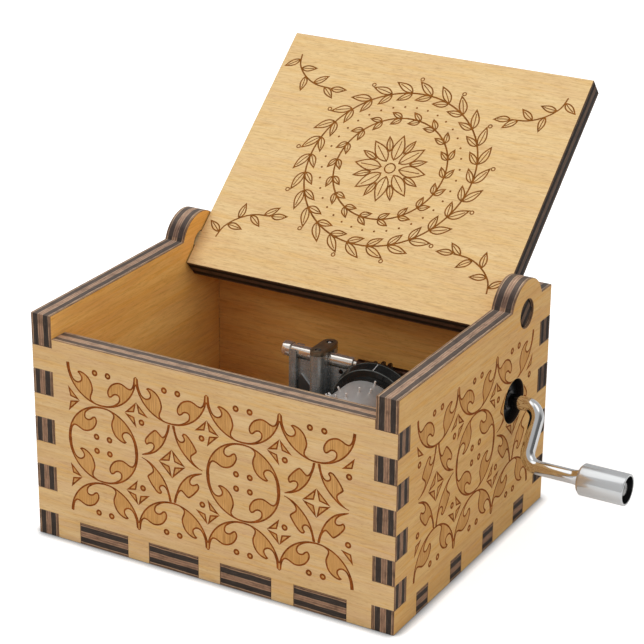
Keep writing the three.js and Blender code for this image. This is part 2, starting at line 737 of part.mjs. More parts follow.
// Crankshaft, worm and end cap, drawn about the crank line
function worm() {
  const hub = turned([
    [shaftNeckRadius + seatGap, -wormHalfLength], [wormRootRadius, -wormHalfLength],
    [wormRootRadius, wormHalfLength], [shaftNeckRadius + seatGap, wormHalfLength],
    [shaftNeckRadius + seatGap, -wormHalfLength],
  ], 'x', wormFacets);
  const steps = wormTurns * wormFacets;
  const rows = Array.from({ length: steps + 1 }, (_, i) => {
    const share = i / steps;
    const along = (share - 1 / 2) * wormTurns;
    const angle = Math.PI + along * 2 * Math.PI;
    const fade = Math.min(1, share / wormTaperShare, (1 - share) / wormTaperShare);
    const root = wormRootRadius - webEdgeThin / 2;
    const crest = root + (wormCrestRadius - root) * Math.max(fade, webEdgeThin);
    const x = along * wormLead;
    return [[root, -wormRootWidth / 2], [crest, -wormCrestWidth / 2], [crest, wormCrestWidth / 2],
      [root, wormRootWidth / 2]].map(([r, dx]) => [x + dx, r * Math.cos(angle), r * Math.sin(angle)]);
  });
  const mesh = piece('drive_worm', 'brass', joined(solid(hub), solid(swept(rows))));
  mesh.position.x = drumAside;
  return mesh;
}

function crankShaft() {
  const left = -saddleLeft - runningGap - endCapLength;
  const neckStart = drumAside - neckFromDrumLine;
  const neckEnd = drumAside + neckPastDrumLine;
  const end = couplingStart + shaftInCoupling - seatGap;
  const start = left + endCapFloor + seatGap;
  const shaft = piece('crank_shaft', 'chrome', turned([
    [0, start], [shaftRadius, start], [shaftRadius, neckStart], [shaftNeckRadius, neckStart],
    [shaftNeckRadius, neckEnd], [shaftRadius, neckEnd], [shaftRadius, end], [0, end],
  ], 'x'));
  const cap = piece('shaft_end_cap', 'chrome', turned([
    [0, left], [endCapRadius, left], [endCapRadius, left + endCapLength],
    [shaftRadius + seatGap, left + endCapLength], [shaftRadius + seatGap, left + endCapFloor],
    [0, left + endCapFloor],
  ], 'x'));
  const shaftSeat = shaftRadius + seatGap;
  const rodSeat = rodRadius + seatGap;
  const step = couplingEnd - rodInCoupling - seatGap;
  const coupling = piece('crank_coupling', 'dark', turned([
    [shaftSeat, couplingStart], [couplingRadius, couplingStart], [couplingRadius, couplingEnd],
    [rodSeat, couplingEnd], [rodSeat, step], [shaftSeat, step], [shaftSeat, couplingStart],
  ], 'x'));
  return [shaft, cap, coupling, worm()];
}

// Bent crank rod, its arm hanging along minus Z from the crank line
class BentLine extends THREE.Curve {
  constructor(start, bend, end, drop, radius) {
    super();
    Object.assign(this, { start, bend, end, drop, radius });
    this.quarter = radius * Math.PI / 2;
    this.lengths = [bend - radius - start, this.quarter, drop - 2 * radius, this.quarter, end - bend - radius];
    this.whole = this.lengths.reduce((sum, part) => sum + part, 0);
  }

  getPoint(t, target = new THREE.Vector3()) {
    let s = t * this.whole;
    const [first, , middle] = this.lengths;
    const { bend, radius, drop } = this;
    if (s <= first) return target.set(this.start + s, 0, 0);
    s -= first;
    if (s <= this.quarter) {
      const a = s / radius;
      return target.set(bend - radius + radius * Math.sin(a), 0, radius * Math.cos(a) - radius);
    }
    s -= this.quarter;
    if (s <= middle) return target.set(bend, 0, -radius - s);
    s -= middle;
    if (s <= this.quarter) {
      const a = s / radius;
      return target.set(bend + radius - radius * Math.cos(a), 0, radius - drop - radius * Math.sin(a));
    }
    return target.set(bend + radius + s - this.quarter, 0, -drop);
  }
}

function crank() {
  const group = new THREE.Group();
  group.name = 'crank_turned';
  const bend = halfWidth + rodOut;
  const knobFrom = halfWidth + knobStart;
  const knobTo = knobFrom + knobLength;
  const recessFloor = knobTo - knobRecessDepth;
  const line = new BentLine(couplingEnd - rodInCoupling, bend, recessFloor + knobEndGap, crankThrow,
    rodBendRadius);
  const section = new THREE.Shape();
  section.absarc(0, 0, rodRadius, 0, 2 * Math.PI, false);
  const bent = new THREE.ExtrudeGeometry(section, {
    steps: rodSteps, curveSegments: rodFacets / 2, bevelEnabled: false, extrudePath: line,
  });
  const stopEnd = knobFrom - stopGap;
  const stop = block(stopEnd - stopLength, stopEnd, -stopThickness / 2, stopThickness / 2,
    -stopReach, stopReach).rotateX(THREE.MathUtils.degToRad(stopTurnDegrees)).translate(0, 0, -crankThrow);
  const crankRod = piece('crank_rod', 'chrome', joined(solid(bent), solid(stop)));
  const bore = rodRadius + knobPlay;
  const knob = piece('crank_knob', 'satin', turned([
    [bore, knobFrom], [knobRadius - knobChamfer, knobFrom], [knobRadius, knobFrom + knobChamfer],
    [knobRadius, knobTo], [knobRecessRadius, knobTo], [knobRecessRadius, recessFloor],
    [bore, recessFloor], [bore, knobFrom],
  ], 'x'));
  knob.position.z = -crankThrow;
  const rivetFrom = recessFloor + knobEndGap;
  const rivet = piece('knob_rivet', 'steel', turned([
    [0, rivetFrom], [rivetRadius, rivetFrom],
    ...arcPoints(0, rivetFrom, 1, 0, Math.PI / 2, smallFacets / 2)
      .map(([u, v]) => [u * rivetRadius, rivetFrom + (v - rivetFrom) * rivetHeight])
      .filter(([r], i) => i > 0 && r > seatGap),
    [0, rivetFrom + rivetHeight],
  ], 'x', smallFacets));
  rivet.position.z = -crankThrow;
  group.add(crankRod, knob, rivet);
  group.rotation.x = -THREE.MathUtils.degToRad(crankRestDegrees);
  return group;
}

// Screws that hold the bed and the crank frame
function mountingScrews() {
  const below = caseScrewPlaces.map(([x, y], i) => {
    const under = caseScrewRecess - caseScrewHeadHeight;
    const tip = ply + caseScrewDepth - seatGap;
    const mesh = piece(`case_screw_${i + 1}`, 'satin', turned([
      [0, under], [caseScrewHeadRadius, under], [caseScrewHeadRadius, caseScrewRecess],
      [caseScrewRadius, caseScrewRecess], [caseScrewRadius, tip], [0, tip],
    ], 'z', smallFacets));
    mesh.position.set(x, y, 0);
    return mesh;
  });
  const above = footScrewAside.map((x, i) => {
    const foot = bedTop - footScrewDepth + seatGap;
    const seat = bedTop + frameFoot;
    const mesh = piece(`frame_screw_${i + 1}`, 'satin', turned([
      [0, foot], [footScrewRadius, foot], [footScrewRadius, seat], [footScrewHeadRadius, seat],
      [footScrewHeadRadius, seat + footScrewHeadHeight], [0, seat + footScrewHeadHeight],
    ], 'z', smallFacets));
    mesh.position.set(x, footScrewBack, 0);
    return mesh;
  });
  return [...below, ...above];
}

// Assembly
function musicBox() {
  const whole = new THREE.Group();
  whole.name = 'drum_music_box';
  const drumGroup = new THREE.Group();
  drumGroup.name = 'drum_turned';
  drumGroup.position.set(drumAside, 0, drumHeight);
  drumGroup.add(...drum());
  const shaftGroup = new THREE.Group();
  shaftGroup.name = 'shaft_turned';
  shaftGroup.position.set(0, crankY, crankHeight);
  shaftGroup.add(...crankShaft(), crank());
  whole.add(...casePanels(), lid(), bedPlate(), crankFrame(), ...bridge(), ...comb(),
    drumGroup, shaftGroup, ...mountingScrews());
  return whole;
}

export default musicBox();
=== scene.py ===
import math
import bmesh
import bpy
from mathutils import Matrix, Vector
from mathutils.geometry import delaunay_2d_cdt


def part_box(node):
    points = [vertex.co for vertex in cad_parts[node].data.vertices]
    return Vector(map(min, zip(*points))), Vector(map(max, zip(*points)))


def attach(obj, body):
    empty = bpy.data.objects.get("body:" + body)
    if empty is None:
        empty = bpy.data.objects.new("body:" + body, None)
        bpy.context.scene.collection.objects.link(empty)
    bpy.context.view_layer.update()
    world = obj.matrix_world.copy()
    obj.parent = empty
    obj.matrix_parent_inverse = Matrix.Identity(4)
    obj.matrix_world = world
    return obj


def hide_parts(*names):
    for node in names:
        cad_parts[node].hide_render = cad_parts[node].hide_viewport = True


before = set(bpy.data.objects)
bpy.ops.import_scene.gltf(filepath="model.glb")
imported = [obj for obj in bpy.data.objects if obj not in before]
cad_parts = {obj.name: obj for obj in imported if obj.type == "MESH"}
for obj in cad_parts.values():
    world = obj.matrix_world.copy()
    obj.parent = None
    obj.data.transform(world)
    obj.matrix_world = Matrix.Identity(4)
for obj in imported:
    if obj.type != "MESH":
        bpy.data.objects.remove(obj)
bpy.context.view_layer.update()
scene = bpy.context.scene
mm = 0.001
tau = 2 * math.pi
sx, sy, sz = Vector((1, 0, 0)), Vector((0, 1, 0)), Vector((0, 0, 1))
materials = {}
print("frame loaded,", len(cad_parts), "nodes")


# colours are written as seen on screen, 0 to 255
def tone(red, green, blue):
    def linear(value):
        value /= 255
        return value / 12.92 if value <= 0.04045 else ((value + 0.055) / 1.055) ** 2.4
    return (linear(red), linear(green), linear(blue), 1)


def addNode(tree, kind, inputs=None, **settings):
    made = tree.nodes.new(kind)
    for key, value in settings.items():
        setattr(made, key, value)
    for socket, value in (inputs or {}).items():
        if isinstance(value, bpy.types.NodeSocket):
            tree.links.new(value, made.inputs[socket])
        else:
            made.inputs[socket].default_value = value
    return made


def addRamp(tree, factor, stops):
    ramp = addNode(tree, "ShaderNodeValToRGB", {"Fac": factor})
    elements = ramp.color_ramp.elements
    while len(elements) < len(stops):
        elements.new(0.5)
    for element, (place, colour) in zip(elements, stops):
        element.position = place
        element.color = colour
    return ramp.outputs["Color"]


def addNoise(tree, coords, stretch, detail=3, rough=0.55, distort=0):
    placed = addNode(tree, "ShaderNodeMapping", {"Vector": coords, "Scale": stretch})
    return addNode(tree, "ShaderNodeTexNoise", {
        "Vector": placed.outputs["Vector"], "Scale": 1, "Detail": detail, "Roughness": rough,
        "Distortion": distort}).outputs["Fac"]


def addMath(tree, operation, first, second):
    return addNode(tree, "ShaderNodeMath", {0: first, 1: second}, operation=operation).outputs[0]


def addMix(tree, factor, first, second, blend="MIX"):
    return addNode(tree, "ShaderNodeMix", {0: factor, 6: first, 7: second},
                   data_type="RGBA", blend_type=blend).outputs[2]


def addBlend(tree, factor, first, second):
    return addNode(tree, "ShaderNodeMix", {0: factor, 2: first, 3: second}, data_type="FLOAT").outputs[0]


def addRange(tree, value, low, high, toLow=0, toHigh=1, curve="LINEAR"):
    return addNode(tree, "ShaderNodeMapRange", {
        "Value": value, "From Min": low, "From Max": high, "To Min": toLow, "To Max": toHigh},
        interpolation_type=curve).outputs["Result"]


def addBump(tree, height, depth, strength):
    return addNode(tree, "ShaderNodeBump", {
        "Height": height, "Distance": depth * mm, "Strength": strength}).outputs["Normal"]


# draw adds a look's nodes and gives the shader's inputs
def makeMaterial(name, draw, look):
    material = bpy.data.materials.new(name)
    material.use_nodes = True
    tree = material.node_tree
    tree.nodes.clear()
    shader = addNode(tree, "ShaderNodeBsdfPrincipled", draw(tree, look))
    addNode(tree, "ShaderNodeOutputMaterial", {"Surface": shader.outputs["BSDF"]})
    materials[name] = material


# wood reads the "grain" attribute: along the fibres, across them, and depth below the face, in mm
def grainOf(tree):
    return addNode(tree, "ShaderNodeAttribute", attribute_name="grain").outputs["Vector"]


def drawVeneer(tree, look):
    grain = grainOf(tree)
    noise = {
        "bands": addNoise(tree, grain, (0.02, 0.4, 0.4), 4, 0.6, 0.35),
        "patches": addNoise(tree, grain, look["patchStretch"], 3, 0.6, 0.5),
        "flushes": addNoise(tree, grain, (0.07, 0.5, 0.5), 2, 0.5, 0.4),
        "strands": addNoise(tree, grain, look["strandStretch"], 3, 0.65, 0.3),
        "fibres": addNoise(tree, grain, (0.5, 9, 9), 3, 0.7),
        "flecks": addNoise(tree, grain, (0.9, 5.2, 5), 2, 0.5, 0.6)}
    wood = tone(*look["pale"])
    for kind, low, high, cover, colour in (
            ("bands", 0.35, 0.65, 1, "deep"), ("flushes", 0.45, 0.68, 0.75, "blush"),
            ("patches", 0.5, 0.66, 0.85, "honey"), ("strands", 0.5, 0.72, look["strand"], "dark"),
            ("strands", 0.46, 0.3, look["strand"] * 0.7, "light"),
            ("fibres", 0.45, 0.75, look["fibre"], "dark"), ("flecks", 0.57, 0.7, look["fleck"], "dark")):
        wood = addMix(tree, addRange(tree, noise[kind], low, high, 0, cover), wood, tone(*look[colour]))
    height = addMath(tree, "SUBTRACT", noise["fibres"], noise["flecks"])
    return {
        "Base Color": wood, "Roughness": addRange(tree, noise["fibres"], 0.2, 0.8, 0.56, 0.7),
        "Specular IOR Level": 0.16, "Normal": addBump(tree, height, 0.03, 0.6)}


# five plies and their glue lines, by share of the board's thickness from the outer face inwards
boardThickness = 3.7
plies = [
    (0, "veneer"), (0.04, "veneer"), (0.065, "core"), (0.085, "glue"), (0.105, "glue"), (0.13, "core"),
    (0.345, "core"), (0.37, "glue"), (0.395, "heart"), (0.47, "heart"), (0.49, "glue"), (0.51, "heart"),
    (0.58, "heart"), (0.6, "glue"), (0.63, "core"), (0.86, "core"), (0.885, "glue"), (0.91, "veneer"),
    (0.935, "core"), (0.96, "veneer"), (1, "veneer")]


# sawn edge of the plywood, scorched by the cutter, and, where the look asks for it, painted shade where it
# turns away from the sky
def drawEdge(tree, look):
    grain = grainOf(tree)
    depth = addNode(tree, "ShaderNodeSeparateXYZ", {"Vector": grain}).outputs["Z"]
    wander = addRange(tree, addNoise(tree, grain, (0.22, 0.22, 0.9)), 0, 1, -0.14, 0.14)
    share = addRange(tree, addMath(tree, "ADD", depth, wander), 0, boardThickness)
    layers = addRamp(tree, share, [(place, tone(*look[ply])) for place, ply in plies])
    streaks = addNoise(tree, grain, (0.5, 0.5, 7), 4, 0.7)
    blots = addNoise(tree, grain, (0.6, 0.6, 0.4), 3, 0.6)
    soot = tone(*look["soot"])
    wood = addMix(tree, addRange(tree, streaks, 0.46, 0.68, 0, 0.7), layers, soot)
    wood = addMix(tree, addRange(tree, streaks, 0.44, 0.3, 0, 0.22), wood, tone(*look["ash"]))
    wood = addMix(tree, addRange(tree, blots, 0.5, 0.75, 0, 0.4), wood, soot)
    if "steep" in look:
        normal = addNode(tree, "ShaderNodeNewGeometry").outputs["Normal"]
        lift = addNode(tree, "ShaderNodeSeparateXYZ", {"Vector": normal}).outputs["Z"]
        wood = addMix(tree, addRange(tree, lift, 0.96, 0.66), wood, look["steep"], "MULTIPLY")
    cuts = addNoise(tree, grain, (7, 7, 0.5), 2, 0.5)
    return {
        "Base Color": wood, "Roughness": addRange(tree, streaks, 0.3, 0.7, 0.4, 0.58),
        "Specular IOR Level": look["specular"], "Normal": addBump(tree, cuts, 0.03, 0.5)}


# engraved line, burnt brown, and the shallow toasted field inside a leaf with the cutter's passes
def drawBurn(tree, look):
    grain = grainOf(tree)
    char = addNoise(tree, grain, (look["charStretch"],) * 3, 4, 0.6)
    passes = addNoise(tree, grain, look["passStretch"], 3, 0.65)
    wood = addMix(tree, addRange(tree, char, 0.3, 0.7), tone(*look["light"]), tone(*look["dark"]))
    streaks = addRange(tree, passes, *look["passRange"], 0, look["streak"])
    wood = addMix(tree, streaks, wood, tone(*look["line"]))
    return {
        "Base Color": wood, "Roughness": addRange(tree, char, 0.3, 0.7, 0.6, 0.8),
        "Specular IOR Level": 0.06, "Normal": addBump(tree, passes, 0.03, 0.6)}


veneerLooks = {
    "caseVeneer": dict(
        pale=(213, 181, 132), deep=(200, 162, 110), light=(221, 193, 148), honey=(208, 166, 104),
        blush=(203, 165, 122), dark=(158, 112, 66), patchStretch=(0.1, 1.5, 1.5),
        strandStretch=(0.16, 2.6, 2.6), strand=0.34, fibre=0.26, fleck=0.3),
    "sideVeneer": dict(
        pale=(213, 174, 114), deep=(201, 156, 95), light=(221, 186, 130), honey=(207, 156, 83),
        blush=(201, 154, 99), dark=(152, 104, 54), patchStretch=(0.1, 1.5, 1.5),
        strandStretch=(0.16, 2.6, 2.6), strand=0.28, fibre=0.18, fleck=0.22),
    # painted bounce light: a warmer, more saturated copy of the veneer for the boards' inner faces
    "bounceLitVeneer": dict(
        pale=(244, 190, 108), deep=(233, 173, 90), light=(250, 203, 125), honey=(236, 172, 84),
        blush=(228, 166, 92), dark=(180, 124, 58), patchStretch=(0.1, 1.5, 1.5),
        strandStretch=(0.14, 2.4, 2.4), strand=0.32, fibre=0.24, fleck=0.26),
    # painted bounce light and painted shade: the rear board's inner copy, a little darker than the other
    # inner faces
    "rearBounceLitVeneer": dict(
        pale=(226, 174, 101), deep=(215, 157, 84), light=(233, 187, 116), honey=(218, 156, 79),
        blush=(211, 151, 86), dark=(164, 112, 54), patchStretch=(0.1, 1.5, 1.5),
        strandStretch=(0.14, 2.4, 2.4), strand=0.42, fibre=0.28, fleck=0.36),
    "lidVeneer": dict(
        pale=(232, 202, 150), deep=(225, 191, 135), light=(238, 211, 162), honey=(228, 190, 128),
        blush=(223, 187, 137), dark=(170, 127, 80), patchStretch=(0.08, 1.1, 1.1),
        strandStretch=(0.3, 4.2, 4.2), strand=0.42, fibre=0.24, fleck=0.34),
}
edgeLooks = {
    "plyEdge": dict(veneer=(138, 104, 78), core=(61, 53, 48), heart=(140, 107, 86), glue=(176, 140, 110),
                    soot=(43, 36, 32), ash=(119, 104, 92), specular=0.05),
    # painted shade: a darker copy of the sawn edge, for the lid and the rear board
    "shadedPlyEdge": dict(veneer=(112, 84, 62), core=(42, 35, 31), heart=(98, 76, 62), glue=(120, 94, 74),
                    soot=(30, 25, 22), ash=(76, 64, 56), specular=0.04),
    # painted light: a lighter, greyer copy of the sawn edge for edge faces that point up
    "litPlyRim": dict(veneer=(192, 154, 116), core=(104, 91, 83), heart=(184, 149, 125), glue=(224, 192, 160),
                   soot=(71, 60, 54), ash=(162, 142, 127), specular=0.22, steep=(0.36, 0.32, 0.32, 1)),
    # painted shade: a much darker copy of the sawn edge for the wall of the crank's bore
    "shadedPlyBore": dict(veneer=(64, 48, 36), core=(26, 20, 18), heart=(48, 38, 32), glue=(62, 48, 38),
                    soot=(16, 12, 11), ash=(44, 36, 32), specular=0.22),
}
burnLooks = {
    "burntLine": dict(light=(154, 82, 31), dark=(102, 50, 18), line=(80, 38, 12), charStretch=0.9,
                      passStretch=(5, 5, 1), passRange=(0.42, 0.68), streak=0.5),
    "lidLine": dict(light=(156, 98, 40), dark=(112, 68, 26), line=(88, 50, 18), charStretch=0.9,
                    passStretch=(5, 5, 1), passRange=(0.42, 0.68), streak=0.5),
    "toastedField": dict(light=(202, 153, 94), dark=(190, 140, 80), line=(136, 88, 42), charStretch=0.3,
                         passStretch=(8.6, 0.2, 1), passRange=(0.44, 0.64), streak=0.6),
}


# stretches are per mm
def drawMetal(tree, look):
    look = {**plainMetal, **look}
    place = addNode(tree, "ShaderNodeTexCoord").outputs["Object"]
    fine = addNoise(tree, place, [stretch / mm for stretch in look["fine"]], 4, 0.6)
    broad = addNoise(tree, place, [stretch / mm for stretch in look["broad"]])
    patches = addRange(tree, broad, 0.3, 0.7)
    return {
        "Base Color": addMix(tree, patches, tone(*look["light"]), tone(*look["dark"])),
        "Metallic": look["metallic"], "Specular IOR Level": look["specular"],
        "Roughness": addRange(tree, fine, 0.25, 0.75, *look["rough"]),
        "Normal": addBump(tree, fine, look["depth"], look["strength"])}


plainMetal = dict(fine=(3, 3, 3), broad=(0.3, 0.3, 0.3), depth=0.004, strength=0.3, metallic=1, specular=0.5)
polished = dict(fine=(0.5, 2, 2), broad=(0.1, 0.1, 0.1), rough=(0.05, 0.1), depth=0.003, strength=0.15)
turned = dict(fine=(0.3, 12, 12), broad=(0.1, 1.6, 1.6), depth=0.001, strength=0.2)
cast = dict(fine=(1.4, 1.4, 1.4), broad=(0.35, 0.35, 0.35))
dulled = dict(broad=(0.5, 0.5, 0.5), depth=0.006)
metalLooks = {
    "chrome": dict(polished, light=(232, 232, 232), dark=(222, 222, 222)),
    "satinSteel": dict(turned, light=(224, 227, 229), dark=(216, 219, 221), rough=(0.23, 0.26),
                       metallic=0.88),
    "brightSteel": dict(light=(222, 223, 224), dark=(206, 207, 208), rough=(0.12, 0.22)),
    "knobSteel": dict(turned, light=(220, 222, 223), dark=(210, 212, 213), rough=(0.15, 0.18), metallic=0.74),
    "rivetSteel": dict(light=(190, 190, 188), dark=(96, 96, 96), broad=(1.1, 1.1, 1.1), rough=(0.15, 0.3),
                       depth=0.02, strength=0.5, metallic=0.5),
    "combSteel": dict(light=(200, 202, 204), dark=(176, 178, 182), fine=(0.3, 7, 7), broad=(0.2, 0.5, 0.5),
                      rough=(0.2, 0.36), depth=0.006, strength=0.4),
    "drumSteel": dict(light=(224, 223, 221), dark=(212, 211, 209), fine=(3, 2, 3), broad=(0.4, 0.2, 0.4),
                      rough=(0.4, 0.5), metallic=0.62),
    "castMetal": dict(cast, light=(172, 176, 177), dark=(152, 156, 156), rough=(0.25, 0.29), depth=0.003,
                      strength=0.1, metallic=0.7),
    # painted shade: a dark copy of the cast metal
    "castShade": dict(cast, light=(96, 98, 97), dark=(80, 82, 81), rough=(0.28, 0.4), depth=0.006,
                      strength=0.16, metallic=0.66),
    # painted highlight: a light copy of the cast metal
    "castHighlight": dict(light=(206, 208, 208), dark=(192, 194, 194), fine=(2.6, 2.6, 2.6),
                     broad=(0.35, 0.35, 0.35), rough=(0.25, 0.35), depth=0.01, metallic=0.5),
    "strapSteel": dict(light=(140, 126, 106), dark=(120, 106, 88), fine=(1.2, 6, 3), broad=(0.5, 0.5, 0.5),
                       rough=(0.28, 0.36), strength=0.25, metallic=0.7),
    "darkSteel": dict(dulled, light=(36, 35, 35), dark=(24, 23, 23), rough=(0.28, 0.4)),
    "blackSteel": dict(dulled, light=(30, 30, 31), dark=(18, 18, 19), rough=(0.3, 0.45), metallic=0.6),
    "blackPlastic": dict(light=(32, 33, 32), dark=(22, 22, 22), rough=(0.14, 0.24), depth=0.003,
                         strength=0.2, metallic=0, specular=0.35),
    "highlightPlastic": dict(light=(92, 97, 95), dark=(56, 60, 58), broad=(0.8, 0.8, 0.8), rough=(0.2, 0.3),
                        depth=0.003, strength=0.2, metallic=0),
    "dullBrass": dict(light=(74, 50, 38), dark=(50, 34, 28), fine=(2, 5, 5), broad=(0.6, 0.6, 0.6),
                      rough=(0.3, 0.44), depth=0.008, strength=0.4, metallic=0.9),
    "pinSteel": dict(light=(250, 250, 250), dark=(244, 244, 244), rough=(0.26, 0.34), depth=0.002,
                     strength=0.2, metallic=0.45),
    "polishedSteel": dict(polished, light=(246, 240, 232), dark=(238, 231, 222), metallic=0.84),
}
for draw, looks in ((drawVeneer, veneerLooks), (drawEdge, edgeLooks), (drawBurn, burnLooks),
                    (drawMetal, metalLooks)):
    for name, look in looks.items():
        makeMaterial(name, draw, look)
print("materials made")


# a copy of a CAD node to work on, in mm, its loose triangles merged and its flat faces whole again
def copyOfNode(node, flat):
    bm = bmesh.new()
    bm.from_mesh(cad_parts[node].data)
    bmesh.ops.scale(bm, vec=(1 / mm,) * 3, verts=bm.verts)
    bmesh.ops.remove_doubles(bm, verts=bm.verts, dist=0.002)
    bmesh.ops.dissolve_limit(bm, angle_limit=math.radians(flat), verts=bm.verts, edges=bm.edges)
    return bm


def sharpEdges(bm, degrees, convexOnly=False):
    limit = math.radians(degrees)
    return [e for e in bm.edges if len(e.link_faces) == 2 and e.calc_face_angle(0) > limit
            and (e.is_convex or not convexOnly)]


def easeEdges(bm, edges, width, segments=2):
    bmesh.ops.bevel(bm, geom=edges, offset=width, offset_type="OFFSET", segments=segments, profile=0.5,
                    affect="EDGES", clamp_overlap=True, material=-1)


def paint(verts, index):
    for face in {f for v in verts for f in v.link_faces}:
        face.material_index = index


def onlyVerts(geom):
    return [g for g in geom if isinstance(g, bmesh.types.BMVert)]


def finishPiece(bm, name, body, looks, replaced, smooth):
    bmesh.ops.scale(bm, vec=(mm,) * 3, verts=bm.verts)
    mesh = bpy.data.meshes.new(name)
    bm.to_mesh(mesh)
    bm.free()
    for look in looks:
        mesh.materials.append(materials[look])
    mesh.shade_smooth()
    mesh.set_sharp_from_angle(angle=math.radians(smooth))
    piece = bpy.data.objects.new(name, mesh)
    scene.collection.objects.link(piece)
    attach(piece, body)
    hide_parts(*replaced)
    return piece


# ornament drawing: motifs are lists of (kind, closed outline), drawn in units of the ring radius
def softLine(points, steps=4):
    line = []
    for i in range(len(points) - 1):
        before, start = points[max(i - 1, 0)], points[i]
        end, after = points[i + 1], points[min(i + 2, len(points) - 1)]
        for k in range(steps):
            t = k / steps
            line.append(tuple(0.5 * (2 * b + (c - a) * t + (2 * a - 5 * b + 4 * c - d) * t * t
                                     + (3 * b - a - 3 * c + d) * t ** 3)
                              for a, b, c, d in zip(before, start, end, after)))
    return line + [points[-1]]


def arcLine(radius, fromAngle, toAngle, steps):
    angles = [math.radians(fromAngle + (toAngle - fromAngle) * k / steps) for k in range(steps + 1)]
    return [(radius * math.cos(angle), radius * math.sin(angle)) for angle in angles]


def turnedBy(points, degrees):
    c, s = math.cos(math.radians(degrees)), math.sin(math.radians(degrees))
    return [(c * x - s * y, s * x + c * y) for x, y in points]


def movedTo(points, at, scale=1, mirror=False):
    return [(at[0] + scale * (-x if mirror else x), at[1] + scale * y) for x, y in points]


def areaOf(points):
    return sum(a[0] * b[1] - b[0] * a[1] for a, b in zip(points, points[1:] + points[:1])) / 2


def anticlockwise(points):
    return points[::-1] if areaOf(points) < 0 else points


# each point with the heading of the line there
def headings(points, closed=True):
    befores = (points[-1:] if closed else points[:1]) + points
    afters = points[1:] + (points[:1] if closed else points[-1:])
    for before, here, after in zip(befores, points, afters):
        yield here, Vector((after[0] - before[0], after[1] - before[1])).normalized()


def resampled(points, step):
    line = []
    for a, b in zip(points, points[1:] + points[:1]):
        count = max(1, math.ceil(math.dist(a, b) / step))
        line += [(a[0] + (b[0] - a[0]) * k / count, a[1] + (b[1] - a[1]) * k / count) for k in range(count)]
    return line


def gapTo(point, a, b):
    along = Vector((b[0] - a[0], b[1] - a[1]))
    away = Vector((point[0] - a[0], point[1] - a[1]))
    share = min(1, max(0, away.dot(along) / max(along.length_squared, 1e-12)))
    return (away - share * along).length


def spread(points, by):
    line = headings(anticlockwise(points))
    return [(here[0] + along.y * by, here[1] - along.x * by) for here, along in line]


# the same loop, begun where it lies farthest from its other side
def begunWide(points, near=6):
    count = len(points)

    def room(i):
        return min(math.dist(points[i], points[(i + k) % count]) for k in range(near, count - near + 1))

    if count < 3 * near:
        return points
    start = max(range(count), key=room)
    return points[start:] + points[:start]


# the outline drawn in by a line's width; points that come too near another side are dropped
def drawnIn(points, width, step, leastShare=0.96, leastStep=0.45):
    points = anticlockwise(points)
    sides = list(zip(points, points[1:] + points[:1]))
    inner = []
    for here, along in headings(resampled(points, step)):
        spot = (here[0] - along.y * width, here[1] + along.x * width)
        if min(gapTo(spot, a, b) for a, b in sides) > width * leastShare:
            if not inner or math.dist(spot, inner[-1]) > step * leastStep:
                inner.append(spot)
    return begunWide(inner)


carving = dict(
    lineWidth=0.034, lineSpread=0.009, step=0.03, ringOuter=1.02, arcSteps=22, tipSkip=12, leftArc=68,
    rightArc=76, spikeHalf=0.056, spikeLength=0.2, spikeFoot=0.16, spikeTop=-0.045, spikeTaper=0.72,
    spikeTrim=2, spikeTurn=3.1, dotRadius=0.086, dotCore=0.034, dotAside=0.19, dotLow=0.172,
    cornerDot=(0.145, 0.162), diamondReach=0.386, diamondWaist=0.066, crossReach=0.345, crossWaist=0.06,
    cornerLine=0.04, crestDrop=0.022)

# lower left and lower right leaves of a ring, as curves that start on its left and at its foot
leftLeafTip = [
    (-0.94, 0), (-0.936, -0.11), (-0.919, -0.241), (-0.882, -0.351), (-0.827, -0.45), (-0.75, -0.5),
    (-0.673, -0.5), (-0.607, -0.456), (-0.586, -0.395), (-0.612, -0.329), (-0.662, -0.274), (-0.695, -0.252)]
leftLeafBack = [
    (-0.695, -0.252), (-0.64, -0.215), (-0.542, -0.23), (-0.432, -0.285), (-0.344, -0.373), (-0.289, -0.482),
    (-0.261, -0.614), (-0.283, -0.724), (-0.318, -0.811), (-0.322, -0.888), (-0.27, -0.94), (-0.169, -0.982),
    (0.007, -0.991)]
rightLeaf = [
    (0.007, -0.991), (0.182, -0.969), (0.314, -0.921), (0.401, -0.866), (0.478, -0.8), (0.511, -0.724),
    (0.5, -0.647), (0.434, -0.614), (0.357, -0.636), (0.292, -0.697), (0.226, -0.719), (0.182, -0.669),
    (0.171, -0.592), (0.204, -0.493), (0.292, -0.373), (0.423, -0.296), (0.555, -0.274), (0.664, -0.307),
    (0.752, -0.351), (0.84, -0.362), (0.895, -0.307), (0.928, -0.219), (0.945, -0.11), (0.95, 0)]
leftSide = softLine(leftLeafTip) + softLine(leftLeafBack)[1:]
rightSide = softLine(rightLeaf)

